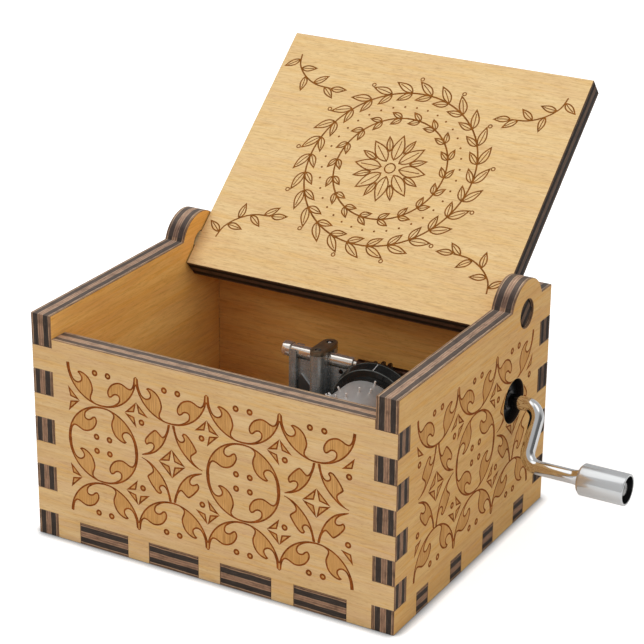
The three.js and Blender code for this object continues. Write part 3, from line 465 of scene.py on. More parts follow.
# the upper leaves of a star column, each an inner curve and the long arc beside it
starLeaves = [
    ([(-0.097, 1.015), (-0.114, 0.908), (-0.147, 0.8), (-0.188, 0.718), (-0.238, 0.663), (-0.287, 0.668),
      (-0.353, 0.726), (-0.411, 0.772), (-0.46, 0.792), (-0.51, 0.767), (-0.584, 0.701), (-0.667, 0.611),
      (-0.741, 0.512), (-0.766, 0.446), (-0.757, 0.388), (-0.716, 0.347), (-0.65, 0.388), (-0.584, 0.409),
      (-0.535, 0.396), (-0.515, 0.347), (-0.535, 0.281), (-0.584, 0.215), (-0.667, 0.149), (-0.766, 0.099),
      (-0.856, 0.05)],
     [(-0.856, 0.041), (-0.7, 0.083), (-0.568, 0.14), (-0.452, 0.215), (-0.353, 0.314), (-0.262, 0.429),
      (-0.188, 0.561), (-0.13, 0.71), (-0.081, 0.842), (-0.04, 1.023)]),
    ([(0.09, 1.023), (0.113, 0.89), (0.147, 0.78), (0.194, 0.7), (0.257, 0.66), (0.323, 0.677),
      (0.356, 0.726), (0.34, 0.784), (0.307, 0.825), (0.332, 0.875), (0.381, 0.891), (0.447, 0.866),
      (0.521, 0.792), (0.604, 0.693), (0.67, 0.594), (0.711, 0.512), (0.686, 0.462), (0.62, 0.404),
      (0.563, 0.347), (0.554, 0.289), (0.587, 0.215), (0.67, 0.14), (0.769, 0.074), (0.868, 0.041)],
     [(0.868, 0.033), (0.653, 0.099), (0.505, 0.198), (0.373, 0.314), (0.257, 0.446), (0.175, 0.578),
      (0.117, 0.71), (0.068, 0.875), (0.026, 1.023)]),
]


def leafMotif(outline, body=None):
    return [("line", spread(outline, carving["lineSpread"])),
            ("field", drawnIn(body or outline, carving["lineWidth"], carving["step"]))]


def withOpposite(motif):
    return motif + [(kind, turnedBy(outline, 180)) for kind, outline in motif]


# the leaves' toasted fields end where the ring between them gets as thin as its line
def leafBodies():
    skip, outer = carving["tipSkip"], carving["ringOuter"]
    left = leftSide[skip:] + arcLine(outer, 270, 270 - carving["leftArc"], 17)
    right = rightSide[:-skip] + arcLine(outer, carving["rightArc"] - 90, -90, 18)
    return left, right


def cupMotif():
    bodies = leafBodies()
    trim, turn, outer, steps = (carving[key] for key in ("spikeTrim", "spikeTurn", "ringOuter", "arcSteps"))
    left = leftSide[trim:] + arcLine(outer, 270, 180 + turn, steps)
    right = rightSide[:-trim] + arcLine(outer, -turn, -90, steps)
    return leafMotif(left, bodies[0]) + leafMotif(right, bodies[1])


def ringMotif():
    left, right = leafBodies()
    arc = arcLine(carving["ringOuter"], 270, 90, 2 * carving["arcSteps"])
    whole = turnedBy(rightSide, 180)[:-1] + leftSide + arc
    return withOpposite(leafMotif(whole, left) + leafMotif(right)[1:])


def starMotif():
    outlines = [softLine(inner) + softLine(arc) for inner, arc in starLeaves]
    return withOpposite([part for outline in outlines for part in leafMotif(outline)])


def cornerPieces(reach, waist):
    shape = [(reach, 0), (0, reach), (waist, waist)]
    outlines = [turnedBy(shape, 90 * quarter) for quarter in range(4)]
    return [[("line", outline), ("field", drawnIn(outline, carving["cornerLine"], carving["step"]))]
            for outline in outlines]


def dotMotif(at):
    return [("line", movedTo(arcLine(carving["dotRadius"], 0, 337.5, 15), at)),
            ("field", movedTo(arcLine(carving["dotCore"], 0, 324, 9), at))]


def spikeMotif():
    def pointed(kind, half, foot, steps):
        cap = movedTo(arcLine(half * carving["spikeTaper"], 0, 180, steps), (0, carving["spikeTop"]))
        return (kind, [(half, -foot)] + cap + [(-half, -foot)])

    half = carving["spikeHalf"]
    return [pointed("line", half, carving["spikeFoot"], 8),
            pointed("core", half - carving["lineWidth"], carving["spikeLength"], 6)]


cup, ring, star, spike = cupMotif(), ringMotif(), starMotif(), spikeMotif()
diamond = [part for piece in cornerPieces(carving["diamondReach"], carving["diamondWaist"]) for part in piece]
crossQuarter = cornerPieces(carving["crossReach"], carving["crossWaist"])


# a band of rings and stars between two rows of half rings
def panelDrawing(columns, first, pitch, rows, mirror):
    radius = pitch / 2
    drawing = []

    def put(motif, at, flip=False, turn=0):
        for kind, outline in motif:
            drawing.append((kind, movedTo(turnedBy(outline, turn), at, radius, flip)))

    top, middle, foot = rows
    aside, low = carving["dotAside"], carving["dotLow"]
    for i, kind in enumerate(columns):
        x = first + i * pitch
        put(cup, (x, top), mirror)
        put(cup, (x, foot), False, 180)
        put(ring if kind == "ring" else star + diamond, (x, middle), mirror)
        for side in (-1, 1):
            put(dotMotif((side * aside, -low)), (x, top))
            put(dotMotif((side * aside, low)), (x, foot))
            if kind == "ring":
                put(dotMotif((side * aside, aside)), (x, middle))
                put(dotMotif((side * aside, -aside)), (x, middle))
    crests = ((-1, (top + middle) / 2 + carving["crestDrop"] * radius), (1, (middle + foot) / 2))
    for i in range(len(columns) + 1):
        x = first + (i - 0.5) * pitch
        if 0 < i < len(columns):
            put(spike, (x, top))
            put(spike, (x, foot), False, 180)
        for inward, y in crests:
            for quarter, (right, up) in enumerate(((1, 1), (-1, 1), (-1, -1), (1, -1))):
                column = i if right > 0 else i - 1
                if not 0 <= column < len(columns):
                    continue
                if up == inward and columns[column] == "star":
                    dx, dy = carving["cornerDot"]
                    put(dotMotif((right * dx, up * dy)), (x, y))
                else:
                    put(crossQuarter[quarter], (x, y))
    return drawing


wreath = dict(
    middle=(0, 19.8), radius=15.0, stem=0.3, pairs=26, leafLength=4.1, leafWidth=1.6, leafLean=38, line=0.25,
    smallLeaf=(0.78, 0.85), tinyLeaf=0.8, vein=(0.08, 0.25, 0.45, 0.62, 0.76), veinShare=0.36, leafStep=0.16,
    shares=8, overlap=0.4, berryRadius=0.42, berryOut=2.9, berryTurn=3, garland=9.9, garlandPairs=18,
    garlandScale=0.74, beads=36, beadRing=12.2, petals=8, petalFrom=1.5, petalLength=5.2, petalWidth=2.3,
    sepalFrom=3.2, sepalLength=3.4, sepalWidth=1.3, heartRadius=1.05, sprigCorner=(23.6, 3.2),
    sprigHeight=34.6, sprigStem=[(1.5, 1.6), (0.9, -0.6), (-1, -2.6), (-3.6, -3.9), (-6.6, -4.2)],
    sprigLeaves=((2, 60, 1), (5, -50, -1), (8, 45, 1), (11, -48, -1), (14, 30, 1)))


def leafShape(length, width, curl, steps=10):
    def side(sign):
        return [(length * t, sign * width / 2 * math.sin(math.pi * t ** 0.8) + curl * length * t * t)
                for t in (k / steps for k in range(steps + 1))]
    return side(-1) + side(1)[-2:0:-1]


def bandShape(line, half):
    sides = [[(here[0] - along.y * reach, here[1] + along.x * reach) for here, along in headings(line, False)]
             for reach in (half, -half)]
    return sides[0] + sides[1][::-1]


def veinedLeaf(length, width, curl=0.12):
    outline, line = leafShape(length, width, curl), wreath["line"]
    middle = [(length * t, curl * length * t * t) for t in wreath["vein"]]
    return [("line", outline), ("bare", drawnIn(outline, line, wreath["leafStep"])),
            ("vein", bandShape(middle, line * wreath["veinShare"]))]


def headingFrom(start, end):
    return math.degrees(math.atan2(end[1] - start[1], end[0] - start[0]))


# wreath of leaves round a rosette, with a sprig in each corner of the lid
def wreathDrawing():
    drawing = []
    middle, line = wreath["middle"], wreath["line"]

    def put(motif, at, turn=0, flip=1):
        for kind, outline in motif:
            shape = turnedBy([(x, y * flip) for x, y in outline], turn)
            drawing.append((kind, movedTo(shape, at)))

    def onRing(radius, angle):
        return movedTo(arcLine(radius, angle, angle + 1, 1)[:1], middle)[0]

    def leafRing(radius, pairs, big, little):
        arc, over = 360 / wreath["shares"], wreath["overlap"]
        for share in range(wreath["shares"]):
            stem = arcLine(radius, share * arc - over, share * arc + arc + over, 9)
            put([("line", bandShape(stem, wreath["stem"] / 2))], middle)
        for k in range(pairs):
            angle = 360 * k / pairs
            put(big, onRing(radius, angle), angle + 90 - wreath["leafLean"])
            put(little, onRing(radius, angle), angle + 90 + wreath["leafLean"], -1)

    long, wide, less = wreath["leafLength"], wreath["leafWidth"], wreath["garlandScale"]
    shorter, narrower = wreath["smallLeaf"]
    small = veinedLeaf(long * shorter, wide * narrower)
    tiny = veinedLeaf(long * less * wreath["tinyLeaf"], wide * less)
    berry = [("line", arcLine(wreath["berryRadius"], 0, 330, 11)),
             ("bare", arcLine(wreath["berryRadius"] - line * 0.8, 0, 320, 8))]
    leafRing(wreath["radius"], wreath["pairs"], veinedLeaf(long, wide), small)
    leafRing(wreath["garland"], wreath["garlandPairs"], tiny, tiny)
    for k in range(1, wreath["pairs"], 2):
        angle = 360 * k / wreath["pairs"] - wreath["berryTurn"]
        put(berry, onRing(wreath["radius"] + wreath["berryOut"], angle))
    for k in range(wreath["beads"]):
        put([("line", arcLine(line * 0.8, 0, 315, 7))], onRing(wreath["beadRing"], 360 * k / wreath["beads"]))
    petal = veinedLeaf(wreath["petalLength"], wreath["petalWidth"], 0)
    sepal = veinedLeaf(wreath["sepalLength"], wreath["sepalWidth"], 0)
    for k in range(wreath["petals"]):
        angle = 360 * k / wreath["petals"]
        between = angle + 180 / wreath["petals"]
        put(petal, onRing(wreath["petalFrom"], angle), angle)
        put(sepal, onRing(wreath["sepalFrom"], between), between)
    put([("line", arcLine(wreath["heartRadius"], 0, 345, 23)),
         ("bare", arcLine(wreath["heartRadius"] - line, 0, 340, 17))], middle)
    for right, up in ((-1, -1), (-1, 1), (1, -1), (1, 1)):
        corner = (right * wreath["sprigCorner"][0], middle[1] + up * (wreath["sprigHeight"] / 2))
        stem = [(right * x, up * y) for x, y in softLine(wreath["sprigStem"])]
        put([("line", bandShape(stem, line * 0.55))], corner)
        places = movedTo(stem, corner)
        for place, turn, flip in wreath["sprigLeaves"]:
            lean = headingFrom(stem[place], stem[place + 1]) + right * up * turn
            put(small, places[place], lean, right * up * flip)
        put(small, places[-1], headingFrom(stem[-2], stem[-1]))
    return drawing


# where outlines overlap, the higher rank is cut; bare wood, margins and holes are left alone
depthOf = dict(line=0.12, field=0.06)
rank = dict(board=0, line=1, field=2, bare=3, core=4, vein=5, margin=90, hole=99)
kindOf = {1: "line", 2: "field", 4: "field", 5: "line"}
faceSlot, edgeSlot, lineSlot, fieldSlot, innerSlot, rimSlot, boreSlot = range(7)
holeMargin = 0.12


# boundary loops of an open flat side, each a list of its vertices
def loopsOf(edges):
    links = {}
    for edge in edges:
        for vert in edge.verts:
            links.setdefault(vert, []).append(edge.other_vert(vert))
    loops, seen = [], set()
    for start in links:
        if start in seen:
            continue
        loop, here = [], start
        while here is not None:
            seen.add(here)
            loop.append(here)
            here = next((v for v in links[here] if v not in seen), None)
        loops.append(loop)
    return loops


def carve(bm, flatFaces, board):
    right, up, out, origin = board["right"], board["up"], board["out"], board["origin"]
    inside = set(flatFaces)
    rim = [e for f in flatFaces for e in f.edges if sum(g in inside for g in e.link_faces) == 1]
    plane = out.dot(flatFaces[0].verts[0].co)
    bmesh.ops.delete(bm, geom=flatFaces, context="FACES")
    loops = loopsOf([e for e in rim if e.is_valid])
    points, known, faces, ranks = [], [], [], []

    def addFace(outline, verts, kind):
        if areaOf(outline) < 0:
            outline = outline[::-1]
            verts = verts[::-1] if verts else None
        faces.append(list(range(len(points), len(points) + len(outline))))
        points.extend(Vector(p) for p in outline)
        known.extend(verts or [None] * len(outline))
        ranks.append(rank[kind])

    flat = [[((v.co - origin).dot(right), (v.co - origin).dot(up)) for v in loop] for loop in loops]
    order = sorted(range(len(loops)), key=lambda i: -abs(areaOf(flat[i])))
    addFace(flat[order[0]], loops[order[0]], "board")
    for i in order[1:]:
        addFace(flat[i], loops[i], "hole")
        middle = [sum(p[k] for p in flat[i]) / len(flat[i]) for k in (0, 1)]
        reach = max(math.dist(p, middle) for p in flat[i]) + holeMargin
        addFace(movedTo(arcLine(reach, 0, 352.5, 47), middle), None, "margin")
    for kind, outline in board["drawing"]:
        if len(outline) > 2:
            addFace(outline, None, kind)
    verts, _, tris, fromVerts, _, fromFaces = delaunay_2d_cdt(points, [], faces, 1, 1e-5)
    made = []
    for spot, sources in zip(verts, fromVerts):
        old = next((known[s] for s in sources if known[s] is not None), None)
        made.append(old or bm.verts.new(
            origin + right * spot[0] + up * spot[1] + out * (plane - out.dot(origin))))
    carved = {"line": [], "field": []}
    for tri, sources in zip(tris, fromFaces):
        level = max((ranks[s] for s in sources), default=rank["hole"])
        corner = [made[k] for k in tri]
        if level == rank["hole"] or 0 not in sources or len(set(corner)) < 3 or bm.faces.get(corner):
            continue
        face = bm.faces.new(corner)
        face.normal_update()
        if face.normal.dot(out) < 0:
            face.normal_flip()
        kind = kindOf.get(level)
        if kind:
            carved[kind].append(face)
            face.material_index = lineSlot if kind == "line" else fieldSlot

    def sink(region, depth):
        before = set(bm.faces)
        result = bmesh.ops.extrude_face_region(bm, geom=region)["geom"]
        bmesh.ops.translate(bm, vec=-out * depth, verts=onlyVerts(result))
        bm.normal_update()
        for face in bm.faces:
            if face not in before and abs(face.normal.dot(out)) < 0.5:
                face.material_index = lineSlot

    sink(carved["line"] + carved["field"], depthOf["field"])
    sink([f for f in bm.faces if f.material_index == lineSlot and f.normal.dot(out) > 0.9],
         depthOf["line"] - depthOf["field"])


crankLine = Vector((0, 13.3, 22.5))
drumLine = Vector((8.9, 0, 16.55))
hingeLine = Vector((0, 16.85, 36.15))
crankTurn = Matrix.Rotation(math.radians(-32.9), 3, "X")
lidTurn = Matrix.Rotation(math.radians(-139.4), 3, "X")
frontDrawing = panelDrawing(["ring", "star", "ring", "star"], -19.13, 12.63, (31.46, 18.42, 5.4), False)
sideDrawing = panelDrawing(["star", "ring", "star"], -13.4, 13.27, (32.75, 19.17, 5.54), True)
boards = {
    "frontBoard": dict(node="front_panel", out=-sy, right=sx, drawing=frontDrawing, shift=(3, 40)),
    "rearBoard": dict(node="rear_panel", out=sy, right=-sx, drawing=frontDrawing, shift=(171, 12),
                      edge="shadedPlyEdge", inner="rearBounceLitVeneer"),
    "rightBoard": dict(node="right_side_panel", out=sx, right=sy, drawing=sideDrawing, shift=(320, 77),
                       face="sideVeneer", boreReach=4),
    "leftBoard": dict(node="left_side_panel", out=-sx, right=-sy, drawing=sideDrawing, shift=(507, 19),
                      face="sideVeneer"),
    "baseBoard": dict(node="base_panel", out=-sz, right=sx, up=-sy, shift=(700, 55)),
    "lidBoard": dict(node="lid_panel", out=lidTurn @ -sz, right=sx, up=lidTurn @ -sy, origin=hingeLine,
                     drawing=wreathDrawing(), shift=(911, 31), body="lid", slot="lid_plywood",
                     face="lidVeneer", edge="shadedPlyEdge", line="lidLine", inner="caseVeneer"),
}
plainBoard = dict(up=sz, origin=Vector(), drawing=[], body="case", slot="plywood", face="caseVeneer",
                  edge="plyEdge", line="burntLine", inner="bounceLitVeneer", ease=0.07, boreReach=0)


def plywoodBoard(name, board):
    bm = copyOfNode(board["node"], 0.4)
    easeEdges(bm, sharpEdges(bm, 40, True), board["ease"], 1)
    bm.normal_update()
    origin, right, up, out = board["origin"], board["right"], board["up"], board["out"]
    plane = max(v.co.dot(out) for v in bm.verts)
    for face in bm.faces:
        facing = face.normal.dot(out)
        away = (face.calc_center_median() - crankLine).yz.length
        if facing > 0.9:
            face.material_index = faceSlot
        # painted bounce light: inner faces take the warmer inner copy of the veneer
        elif facing < -0.9:
            face.material_index = innerSlot
        # painted shade: the wall of the crank's bore takes the darker bore copy of the edge
        elif away < board["boreReach"]:
            face.material_index = boreSlot
        else:
            # painted light: edge faces that point up take the lighter rim copy of the edge
            face.material_index = rimSlot if face.normal.z > 0.4 else edgeSlot
    if board["drawing"]:
        carve(bm, [f for f in bm.faces if f.normal.dot(out) > 0.999
                   and abs(f.calc_center_median().dot(out) - plane) < 0.01], board)
    bmesh.ops.triangulate(bm, faces=[f for f in bm.faces if len(f.verts) > 4])
    grain = [((v.co - origin).dot(right) + board["shift"][0], (v.co - origin).dot(up) + board["shift"][1],
              plane - v.co.dot(out)) for v in bm.verts]
    looks = [board["face"], board["edge"], board["line"], "toastedField", board["inner"], "litPlyRim", "shadedPlyBore"]
    piece = finishPiece(bm, name, board["body"], looks, [board["node"]], 25)
    attribute = piece.data.attributes.new("grain", "FLOAT_VECTOR", "POINT")
    attribute.data.foreach_set("vector", [c for point in grain for c in point])
    print(name, len(piece.data.polygons), "faces")


for name, board in boards.items():
    plywoodBoard(name, {**plainBoard, **board})


# turned pieces: a half section spun round its axis; the section is (along, radius) in mm
def spunPiece(section, along, at, steps=64, ease=0, easeAngle=30, easeSteps=2):
    bm = bmesh.new()
    aside = sx if along == sz else sz
    verts = [bm.verts.new(along * place + aside * radius) for place, radius in section]
    edges = [bm.edges.new(pair) for pair in zip(verts, verts[1:])]
    bmesh.ops.spin(bm, geom=verts + edges, cent=(0, 0, 0), axis=along, angle=tau, steps=steps,
                   use_merge=True, dvec=(0, 0, 0))
    bmesh.ops.remove_doubles(bm, verts=bm.verts, dist=0.0005)
    bmesh.ops.recalc_face_normals(bm, faces=bm.faces)
    if ease:
        easeEdges(bm, sharpEdges(bm, easeAngle), ease, easeSteps)
    bmesh.ops.translate(bm, vec=at, verts=bm.verts)
    return bm


def turnBy(radians, axis, size=4):
    return Matrix.Rotation(radians, size, axis)


# a dome's section, from just above its rim to its pole
def domeLine(foot, rise, radius, angles):
    return [(foot + rise * math.sin(math.radians(a)), radius * math.cos(math.radians(a))) for a in angles]


# each crimp ring is its place, its thickness and its width against the ring before it
rod = dict(radius=1.15, start=27.42, bend=36.55, bendRadius=2.3, drop=9.3, steps=14, sides=32, crimpTurn=48,
           crimp=((44.65, 1, 1), (45.1, 0.98, 1.04), (45.4, 0.92, 1.12), (45.88, 0.92, 1.12), (46.02, 1, 1),
                  (52.28, 1, 1)),
           lug=dict(at=45.5, long=0.95, wide=0.62, high=0.5, taper=0.4, foot=0.3, rise=0.2, turn=50,
                    ease=0.05))


# bent rod: a circle pushed straight and spun round each bend, then pinched where the knob stops
def bentRod():
    bm = bmesh.new()
    bendX, r, drop = rod["bend"], rod["bendRadius"], rod["drop"]
    bmesh.ops.create_circle(bm, segments=rod["sides"], radius=rod["radius"], cap_ends=False,
                            matrix=Matrix.Translation((rod["start"], 0, 0)) @ turnBy(math.pi / 2, "Y"))
    first = list(bm.edges)

    def onlyEdges(geom):
        return [g for g in geom if isinstance(g, bmesh.types.BMEdge)]

    def vertsOf(edges):
        return list({v for e in edges for v in e.verts})

    def push(edges, vec):
        made = bmesh.ops.extrude_edge_only(bm, edges=edges)["geom"]
        bmesh.ops.translate(bm, vec=vec, verts=onlyVerts(made))
        return onlyEdges(made)

    def swing(edges, centre, angle):
        return onlyEdges(bmesh.ops.spin(bm, geom=vertsOf(edges) + edges, cent=centre, axis=sy, angle=angle,
                                        steps=rod["steps"], dvec=(0, 0, 0))["geom_last"])

    edges = push(first, sx * (bendX - r - rod["start"]))
    edges = swing(edges, (bendX - r, 0, -r), math.pi / 2)
    edges = push(edges, -sz * (drop - 2 * r))
    edges = swing(edges, (bendX + r, 0, r - drop), -math.pi / 2)
    here = bendX + r
    pinch = turnBy(math.radians(rod["crimpTurn"]), "X").inverted() @ Matrix.Translation((0, 0, drop))
    for place, thin, wide in rod["crimp"]:
        edges = push(edges, sx * (place - here))
        here = place
        if thin < 1:
            bmesh.ops.scale(bm, vec=(1, thin, wide), space=pinch, verts=vertsOf(edges))
    for end in (first, edges):
        bmesh.ops.edgeloop_fill(bm, edges=end)
    addLug(bm, rod["lug"])
    bmesh.ops.remove_doubles(bm, verts=bm.verts, dist=0.0005)
    bmesh.ops.recalc_face_normals(bm, faces=bm.faces)
    bmesh.ops.rotate(bm, cent=(0, 0, 0), matrix=crankTurn, verts=bm.verts)
    bmesh.ops.translate(bm, vec=crankLine, verts=bm.verts)
    return bm


# small wedge that stands out of the rod beside the knob
def addLug(bm, lug):
    made = bmesh.ops.create_cube(bm, size=1)["verts"]
    bmesh.ops.scale(bm, vec=(lug["long"], lug["wide"], lug["high"]), verts=made)
    for vert in made:
        if vert.co.x < 0:
            vert.co.y *= lug["taper"]
            vert.co.z = min(vert.co.z, -lug["high"] * lug["foot"])
    bmesh.ops.translate(bm, vec=(lug["at"], 0, rod["radius"] + lug["high"] * lug["rise"]), verts=made)
    bmesh.ops.transform(bm, verts=made, matrix=Matrix.Translation((0, 0, -rod["drop"]))
                        @ turnBy(math.radians(lug["turn"]), "X"))
    paint(made, 1)
    easeEdges(bm, list({e for v in made for e in v.link_edges}), lug["ease"])


finishPiece(bentRod(), "bentRod", "crank", ["chrome", "pinSteel"], ["crank_rod"], 50)

knobLine = crankLine + crankTurn @ Vector((0, 0, -rod["drop"]))
knob = dict(bore=1.21, start=46.1, end=53.9, radius=2.55, chamfer=0.42, lip=2.16, lipEdge=2.22, round=0.1,
            lipDepth=0.08, floor=52.2, ease=0.1)
knobSection = [
    (knob["start"], knob["bore"]), (knob["start"], knob["radius"] - knob["chamfer"]),
    (knob["start"] + knob["chamfer"], knob["radius"]), (knob["end"] - knob["round"], knob["radius"]),
    (knob["end"], knob["radius"] - knob["round"]), (knob["end"], knob["lipEdge"]),
    (knob["end"] - knob["lipDepth"], knob["lip"]), (knob["floor"], knob["lip"]),
    (knob["floor"], knob["bore"]), (knob["start"], knob["bore"])]
bm = spunPiece(knobSection, sx, knobLine, 96, knob["ease"])
# painted shade: the hollow in the knob's end takes black steel
for face in bm.faces:
    centre = face.calc_center_median() - knobLine
    if centre.x > knob["floor"] - 0.05 and centre.yz.length < knob["lip"] + 0.02:
        face.material_index = 1
finishPiece(bm, "knobSleeve", "knob", ["knobSteel", "blackSteel"], ["crank_knob"], 40)

rivetSection = [(52.3, 0), (52.3, 1.55), (52.7, 1.55), (52.95, 1.2), (53.25, 1.12)]
rivetSection += domeLine(53.25, 0.3, 1.12, range(15, 90, 15)) + [(53.55, 0)]
finishPiece(spunPiece(rivetSection, sx, knobLine, 48), "knobRivetHead", "crank",
            ["rivetSteel"], ["knob_rivet"], 60)

shaft = dict(start=-9.33, neckFrom=3.4, neckTo=14.0, end=26.88, radius=1.03, neck=0.6)
shaftSection = [(shaft["start"], 0), (shaft["start"], shaft["radius"]), (shaft["neckFrom"], shaft["radius"]),
                (shaft["neckFrom"], shaft["neck"]), (shaft["neckTo"], shaft["neck"]),
                (shaft["neckTo"], shaft["radius"]), (shaft["end"], shaft["radius"]), (shaft["end"], 0)]
capSection = [(-9.75, 0), (-9.75, 1.3), (-8.25, 1.3), (-8.25, 1.05), (-9.35, 1.05), (-9.35, 0)]
sleeveSection = [(21.5, 1.05), (21.5, 1.6), (31.3, 1.6), (31.3, 1.17), (27.38, 1.17), (27.38, 1.05),
                 (21.5, 1.05)]
for name, node, section, slotName, look, ease, easeSteps in (
        ("driveShaft", "crank_shaft", shaftSection, "chrome", "polishedSteel", 0.12, 2),
        ("shaftCap", "shaft_end_cap", capSection, "chrome", "polishedSteel", 0.14, 3),
        ("couplingSleeve", "crank_coupling", sleeveSection, "dark_steel", "darkSteel", 0.1, 2)):
    bm = spunPiece(section, sx, crankLine, 64, ease, 30, easeSteps)
    finishPiece(bm, name, "crank", [look], [node], 40)
print("crank made")

# shownPins are the pins that the photograph shows, as track and degrees
drum = dict(front=-11.8, rear=7.8, radius=6.15, wall=0.6, ease=0.1, tracks=18, firstTrack=-10.8, pitch=1.04,
            perTrack=5, spread=0.62, golden=0.618034, hiddenTracks=9, shownFrom=60, shownTo=135,
            pinRadius=0.17, pinTaper=0.97, pinRoot=5.85, pinTip=6.9, pinEase=0.11)
shownPins = [(17.5, 77), (14, 84.4), (15, 71.3), (11, 90.4), (14, 118.3), (10, 101.8), (12, 128.9)]


def pinPlaces():
    places = list(shownPins)
    for track in range(drum["tracks"]):
        for i in range(drum["perTrack"]):
            turn = drum["golden"] * (track * drum["perTrack"] + i) * (track + 2)
            degrees = 360 * (i + drum["spread"] * (turn % 1)) / drum["perTrack"]
            if track < drum["hiddenTracks"] or not drum["shownFrom"] <= degrees <= drum["shownTo"]:
                places.append((track, degrees))
    return places


def pinnedDrum():
    front, rear, radius, root = drum["front"], drum["rear"], drum["radius"], drum["pinRoot"]
    inner, length = radius - drum["wall"], drum["pinTip"] - root
    section = [(front, inner), (front, radius), (rear, radius), (rear, inner), (front, inner)]
    bm = spunPiece(section, sy, drumLine, 128, drum["ease"])
    for track, degrees in pinPlaces():
        middle = drumLine + sy * (drum["firstTrack"] + track * drum["pitch"])
        place = (Matrix.Translation(middle) @ turnBy(math.radians(-degrees), "Y")
                 @ Matrix.Translation((root + length / 2, 0, 0)) @ turnBy(math.pi / 2, "Y"))
        made = bmesh.ops.create_cone(bm, cap_ends=True, segments=10, radius1=drum["pinRadius"],
                                     radius2=drum["pinRadius"] * drum["pinTaper"], depth=length,
                                     matrix=place)["verts"]
        # painted highlight: the pin's rounded tip takes the near-white pin steel
        ends = [f for f in {f for v in made for f in v.link_faces} if len(f.verts) > 4]
        tip = max(ends, key=lambda f: (f.calc_center_median() - middle).length)
        tip.material_index = 1
        bmesh.ops.bevel(bm, geom=list(tip.edges), offset=drum["pinEase"], offset_type="OFFSET", segments=3,
                        profile=0.5, affect="EDGES", material=1)
    return bm


finishPiece(pinnedDrum(), "pinnedDrum", "drum", ["drumSteel", "pinSteel"], ["pin_drum"], 40)

gear = dict(teeth=30, tipY=12.15, backY=11.25, toothInner=4.9, toothOuter=7.95, rootWidth=0.62, tipWidth=0.4,
            overlap=0.15, leanDegrees=9.2, bodyEase=0.06, toothEase=0.05, coneFrom=(9.1, 7.56),
            coneTo=(10.85, 7.98), seam=dict(degrees=89, wide=0.12, thick=0.1, rise=0.02),
            highlightEdges=((9.05, 7.5), (10.86, 8.0)), highlightReach=0.09)
gearSection = [
    (5.8, 1.02), (5.8, 5.53), (7.8, 5.53), (7.8, 6.35), (9.0, 6.35), (9.0, 7.45), gear["coneFrom"],
    gear["coneTo"], (10.85, 8.05), (11.25, 8.05), (11.25, 2.2), (12.45, 2.2), (12.45, 1.02), (5.8, 1.02)]


# a unit cube scaled, turned and moved, then turned round the gear's axis
def gearBlock(bm, size, turn, at, round_, tipShare=1):
    made = bmesh.ops.create_cube(bm, size=1)["verts"]
    bmesh.ops.scale(bm, vec=size, verts=made)
    bmesh.ops.scale(bm, vec=(tipShare, 1, 1), verts=[v for v in made if v.co.y > 0])
    bmesh.ops.rotate(bm, cent=(0, 0, 0), matrix=turn, verts=made)
    bmesh.ops.translate(bm, vec=at, verts=made)
    bmesh.ops.rotate(bm, cent=(0, 0, 0), matrix=turnBy(round_, "Y", 3), verts=made)
    return made


def crownGear():
    bm = spunPiece(gearSection, sy, (0, 0, 0), 128, gear["bodyEase"], 25)
    # painted highlight: faces near two of the gear's edges take a light grey plastic as thin highlight lines
    for face in bm.faces:
        centre = face.calc_center_median()
        spot = (centre.y, centre.xz.length)
        if any(math.dist(spot, edge) < gear["highlightReach"] for edge in gear["highlightEdges"]):
            face.material_index = 1
    # painted highlight: the seam is near-white steel
    seam, (fromY, fromR), (toY, toR) = gear["seam"], gear["coneFrom"], gear["coneTo"]
    size = (seam["wide"], math.hypot(toY - fromY, toR - fromR), seam["thick"])
    at = (0, (fromY + toY) / 2, (fromR + toR) / 2 + seam["rise"] - seam["thick"] / 2)
    lean = turnBy(math.atan2(toR - fromR, toY - fromY), "X", 3)
    paint(gearBlock(bm, size, lean, at, math.radians(90 - seam["degrees"])), 2)
    height = gear["tipY"] - gear["backY"] + gear["overlap"]
    size = (gear["rootWidth"], height, gear["toothOuter"] - gear["toothInner"])
    at = (0, gear["backY"] - gear["overlap"] + height / 2, (gear["toothOuter"] + gear["toothInner"]) / 2)
    lean, tipShare = turnBy(math.radians(-gear["leanDegrees"]), "Y", 3), gear["tipWidth"] / gear["rootWidth"]
    for k in range(gear["teeth"]):
        made = gearBlock(bm, size, lean, at, (k + 0.5) * tau / gear["teeth"], tipShare)
        easeEdges(bm, list({e for v in made for e in v.link_edges}), gear["toothEase"])
    bmesh.ops.translate(bm, vec=drumLine, verts=bm.verts)
    return bm


finishPiece(crownGear(), "crownGear", "drum", ["blackPlastic", "highlightPlastic", "pinSteel"],
            ["drum_gear"], 35)
print("drum made")

# castings, comb and small turned parts keep the CAD shape, with eased edges
easedNodes = {
    "crank_frame": ("rearCasting", "case", "casting", "castMetal", 0.2, 30),
    "movement_bed": ("bedCasting", "case", "casting", "castMetal", 0.2, 30),
    "shaft_strap": ("shaftBridge", "case", "strap_steel", "strapSteel", 0.12, 30),
    "tone_comb": ("toneComb", "case", "bright_steel", "combSteel", 0.05, 30),
    "drum_front_cap": ("drumCap", "drum", "satin_steel", "satinSteel", 0.08, 40),
    "drum_arbor": ("drumArbor", "drum", "bright_steel", "brightSteel", 0.1, 50),
    "arbor_clip": ("arborClip", "drum", "dark_steel", "darkSteel", 0.08, 50),
    # painted reflection: the steel worm is coloured brown for the wood it reflects
    "drive_worm": ("driveWorm", "crank", "brass", "dullBrass", 0, 30),
}
bearingShade = dict(fromX=24.9, reach=9)
rib = dict(fromX=-8.0, toX=-1.6, fromY=12.35, toY=12.74)
stud = dict(at=(1.17, 12.75, 20.75), depth=0.2, taper=0.8, radius=0.3, rise=0.16, ringRadius=0.48,
            ringRise=0.06)


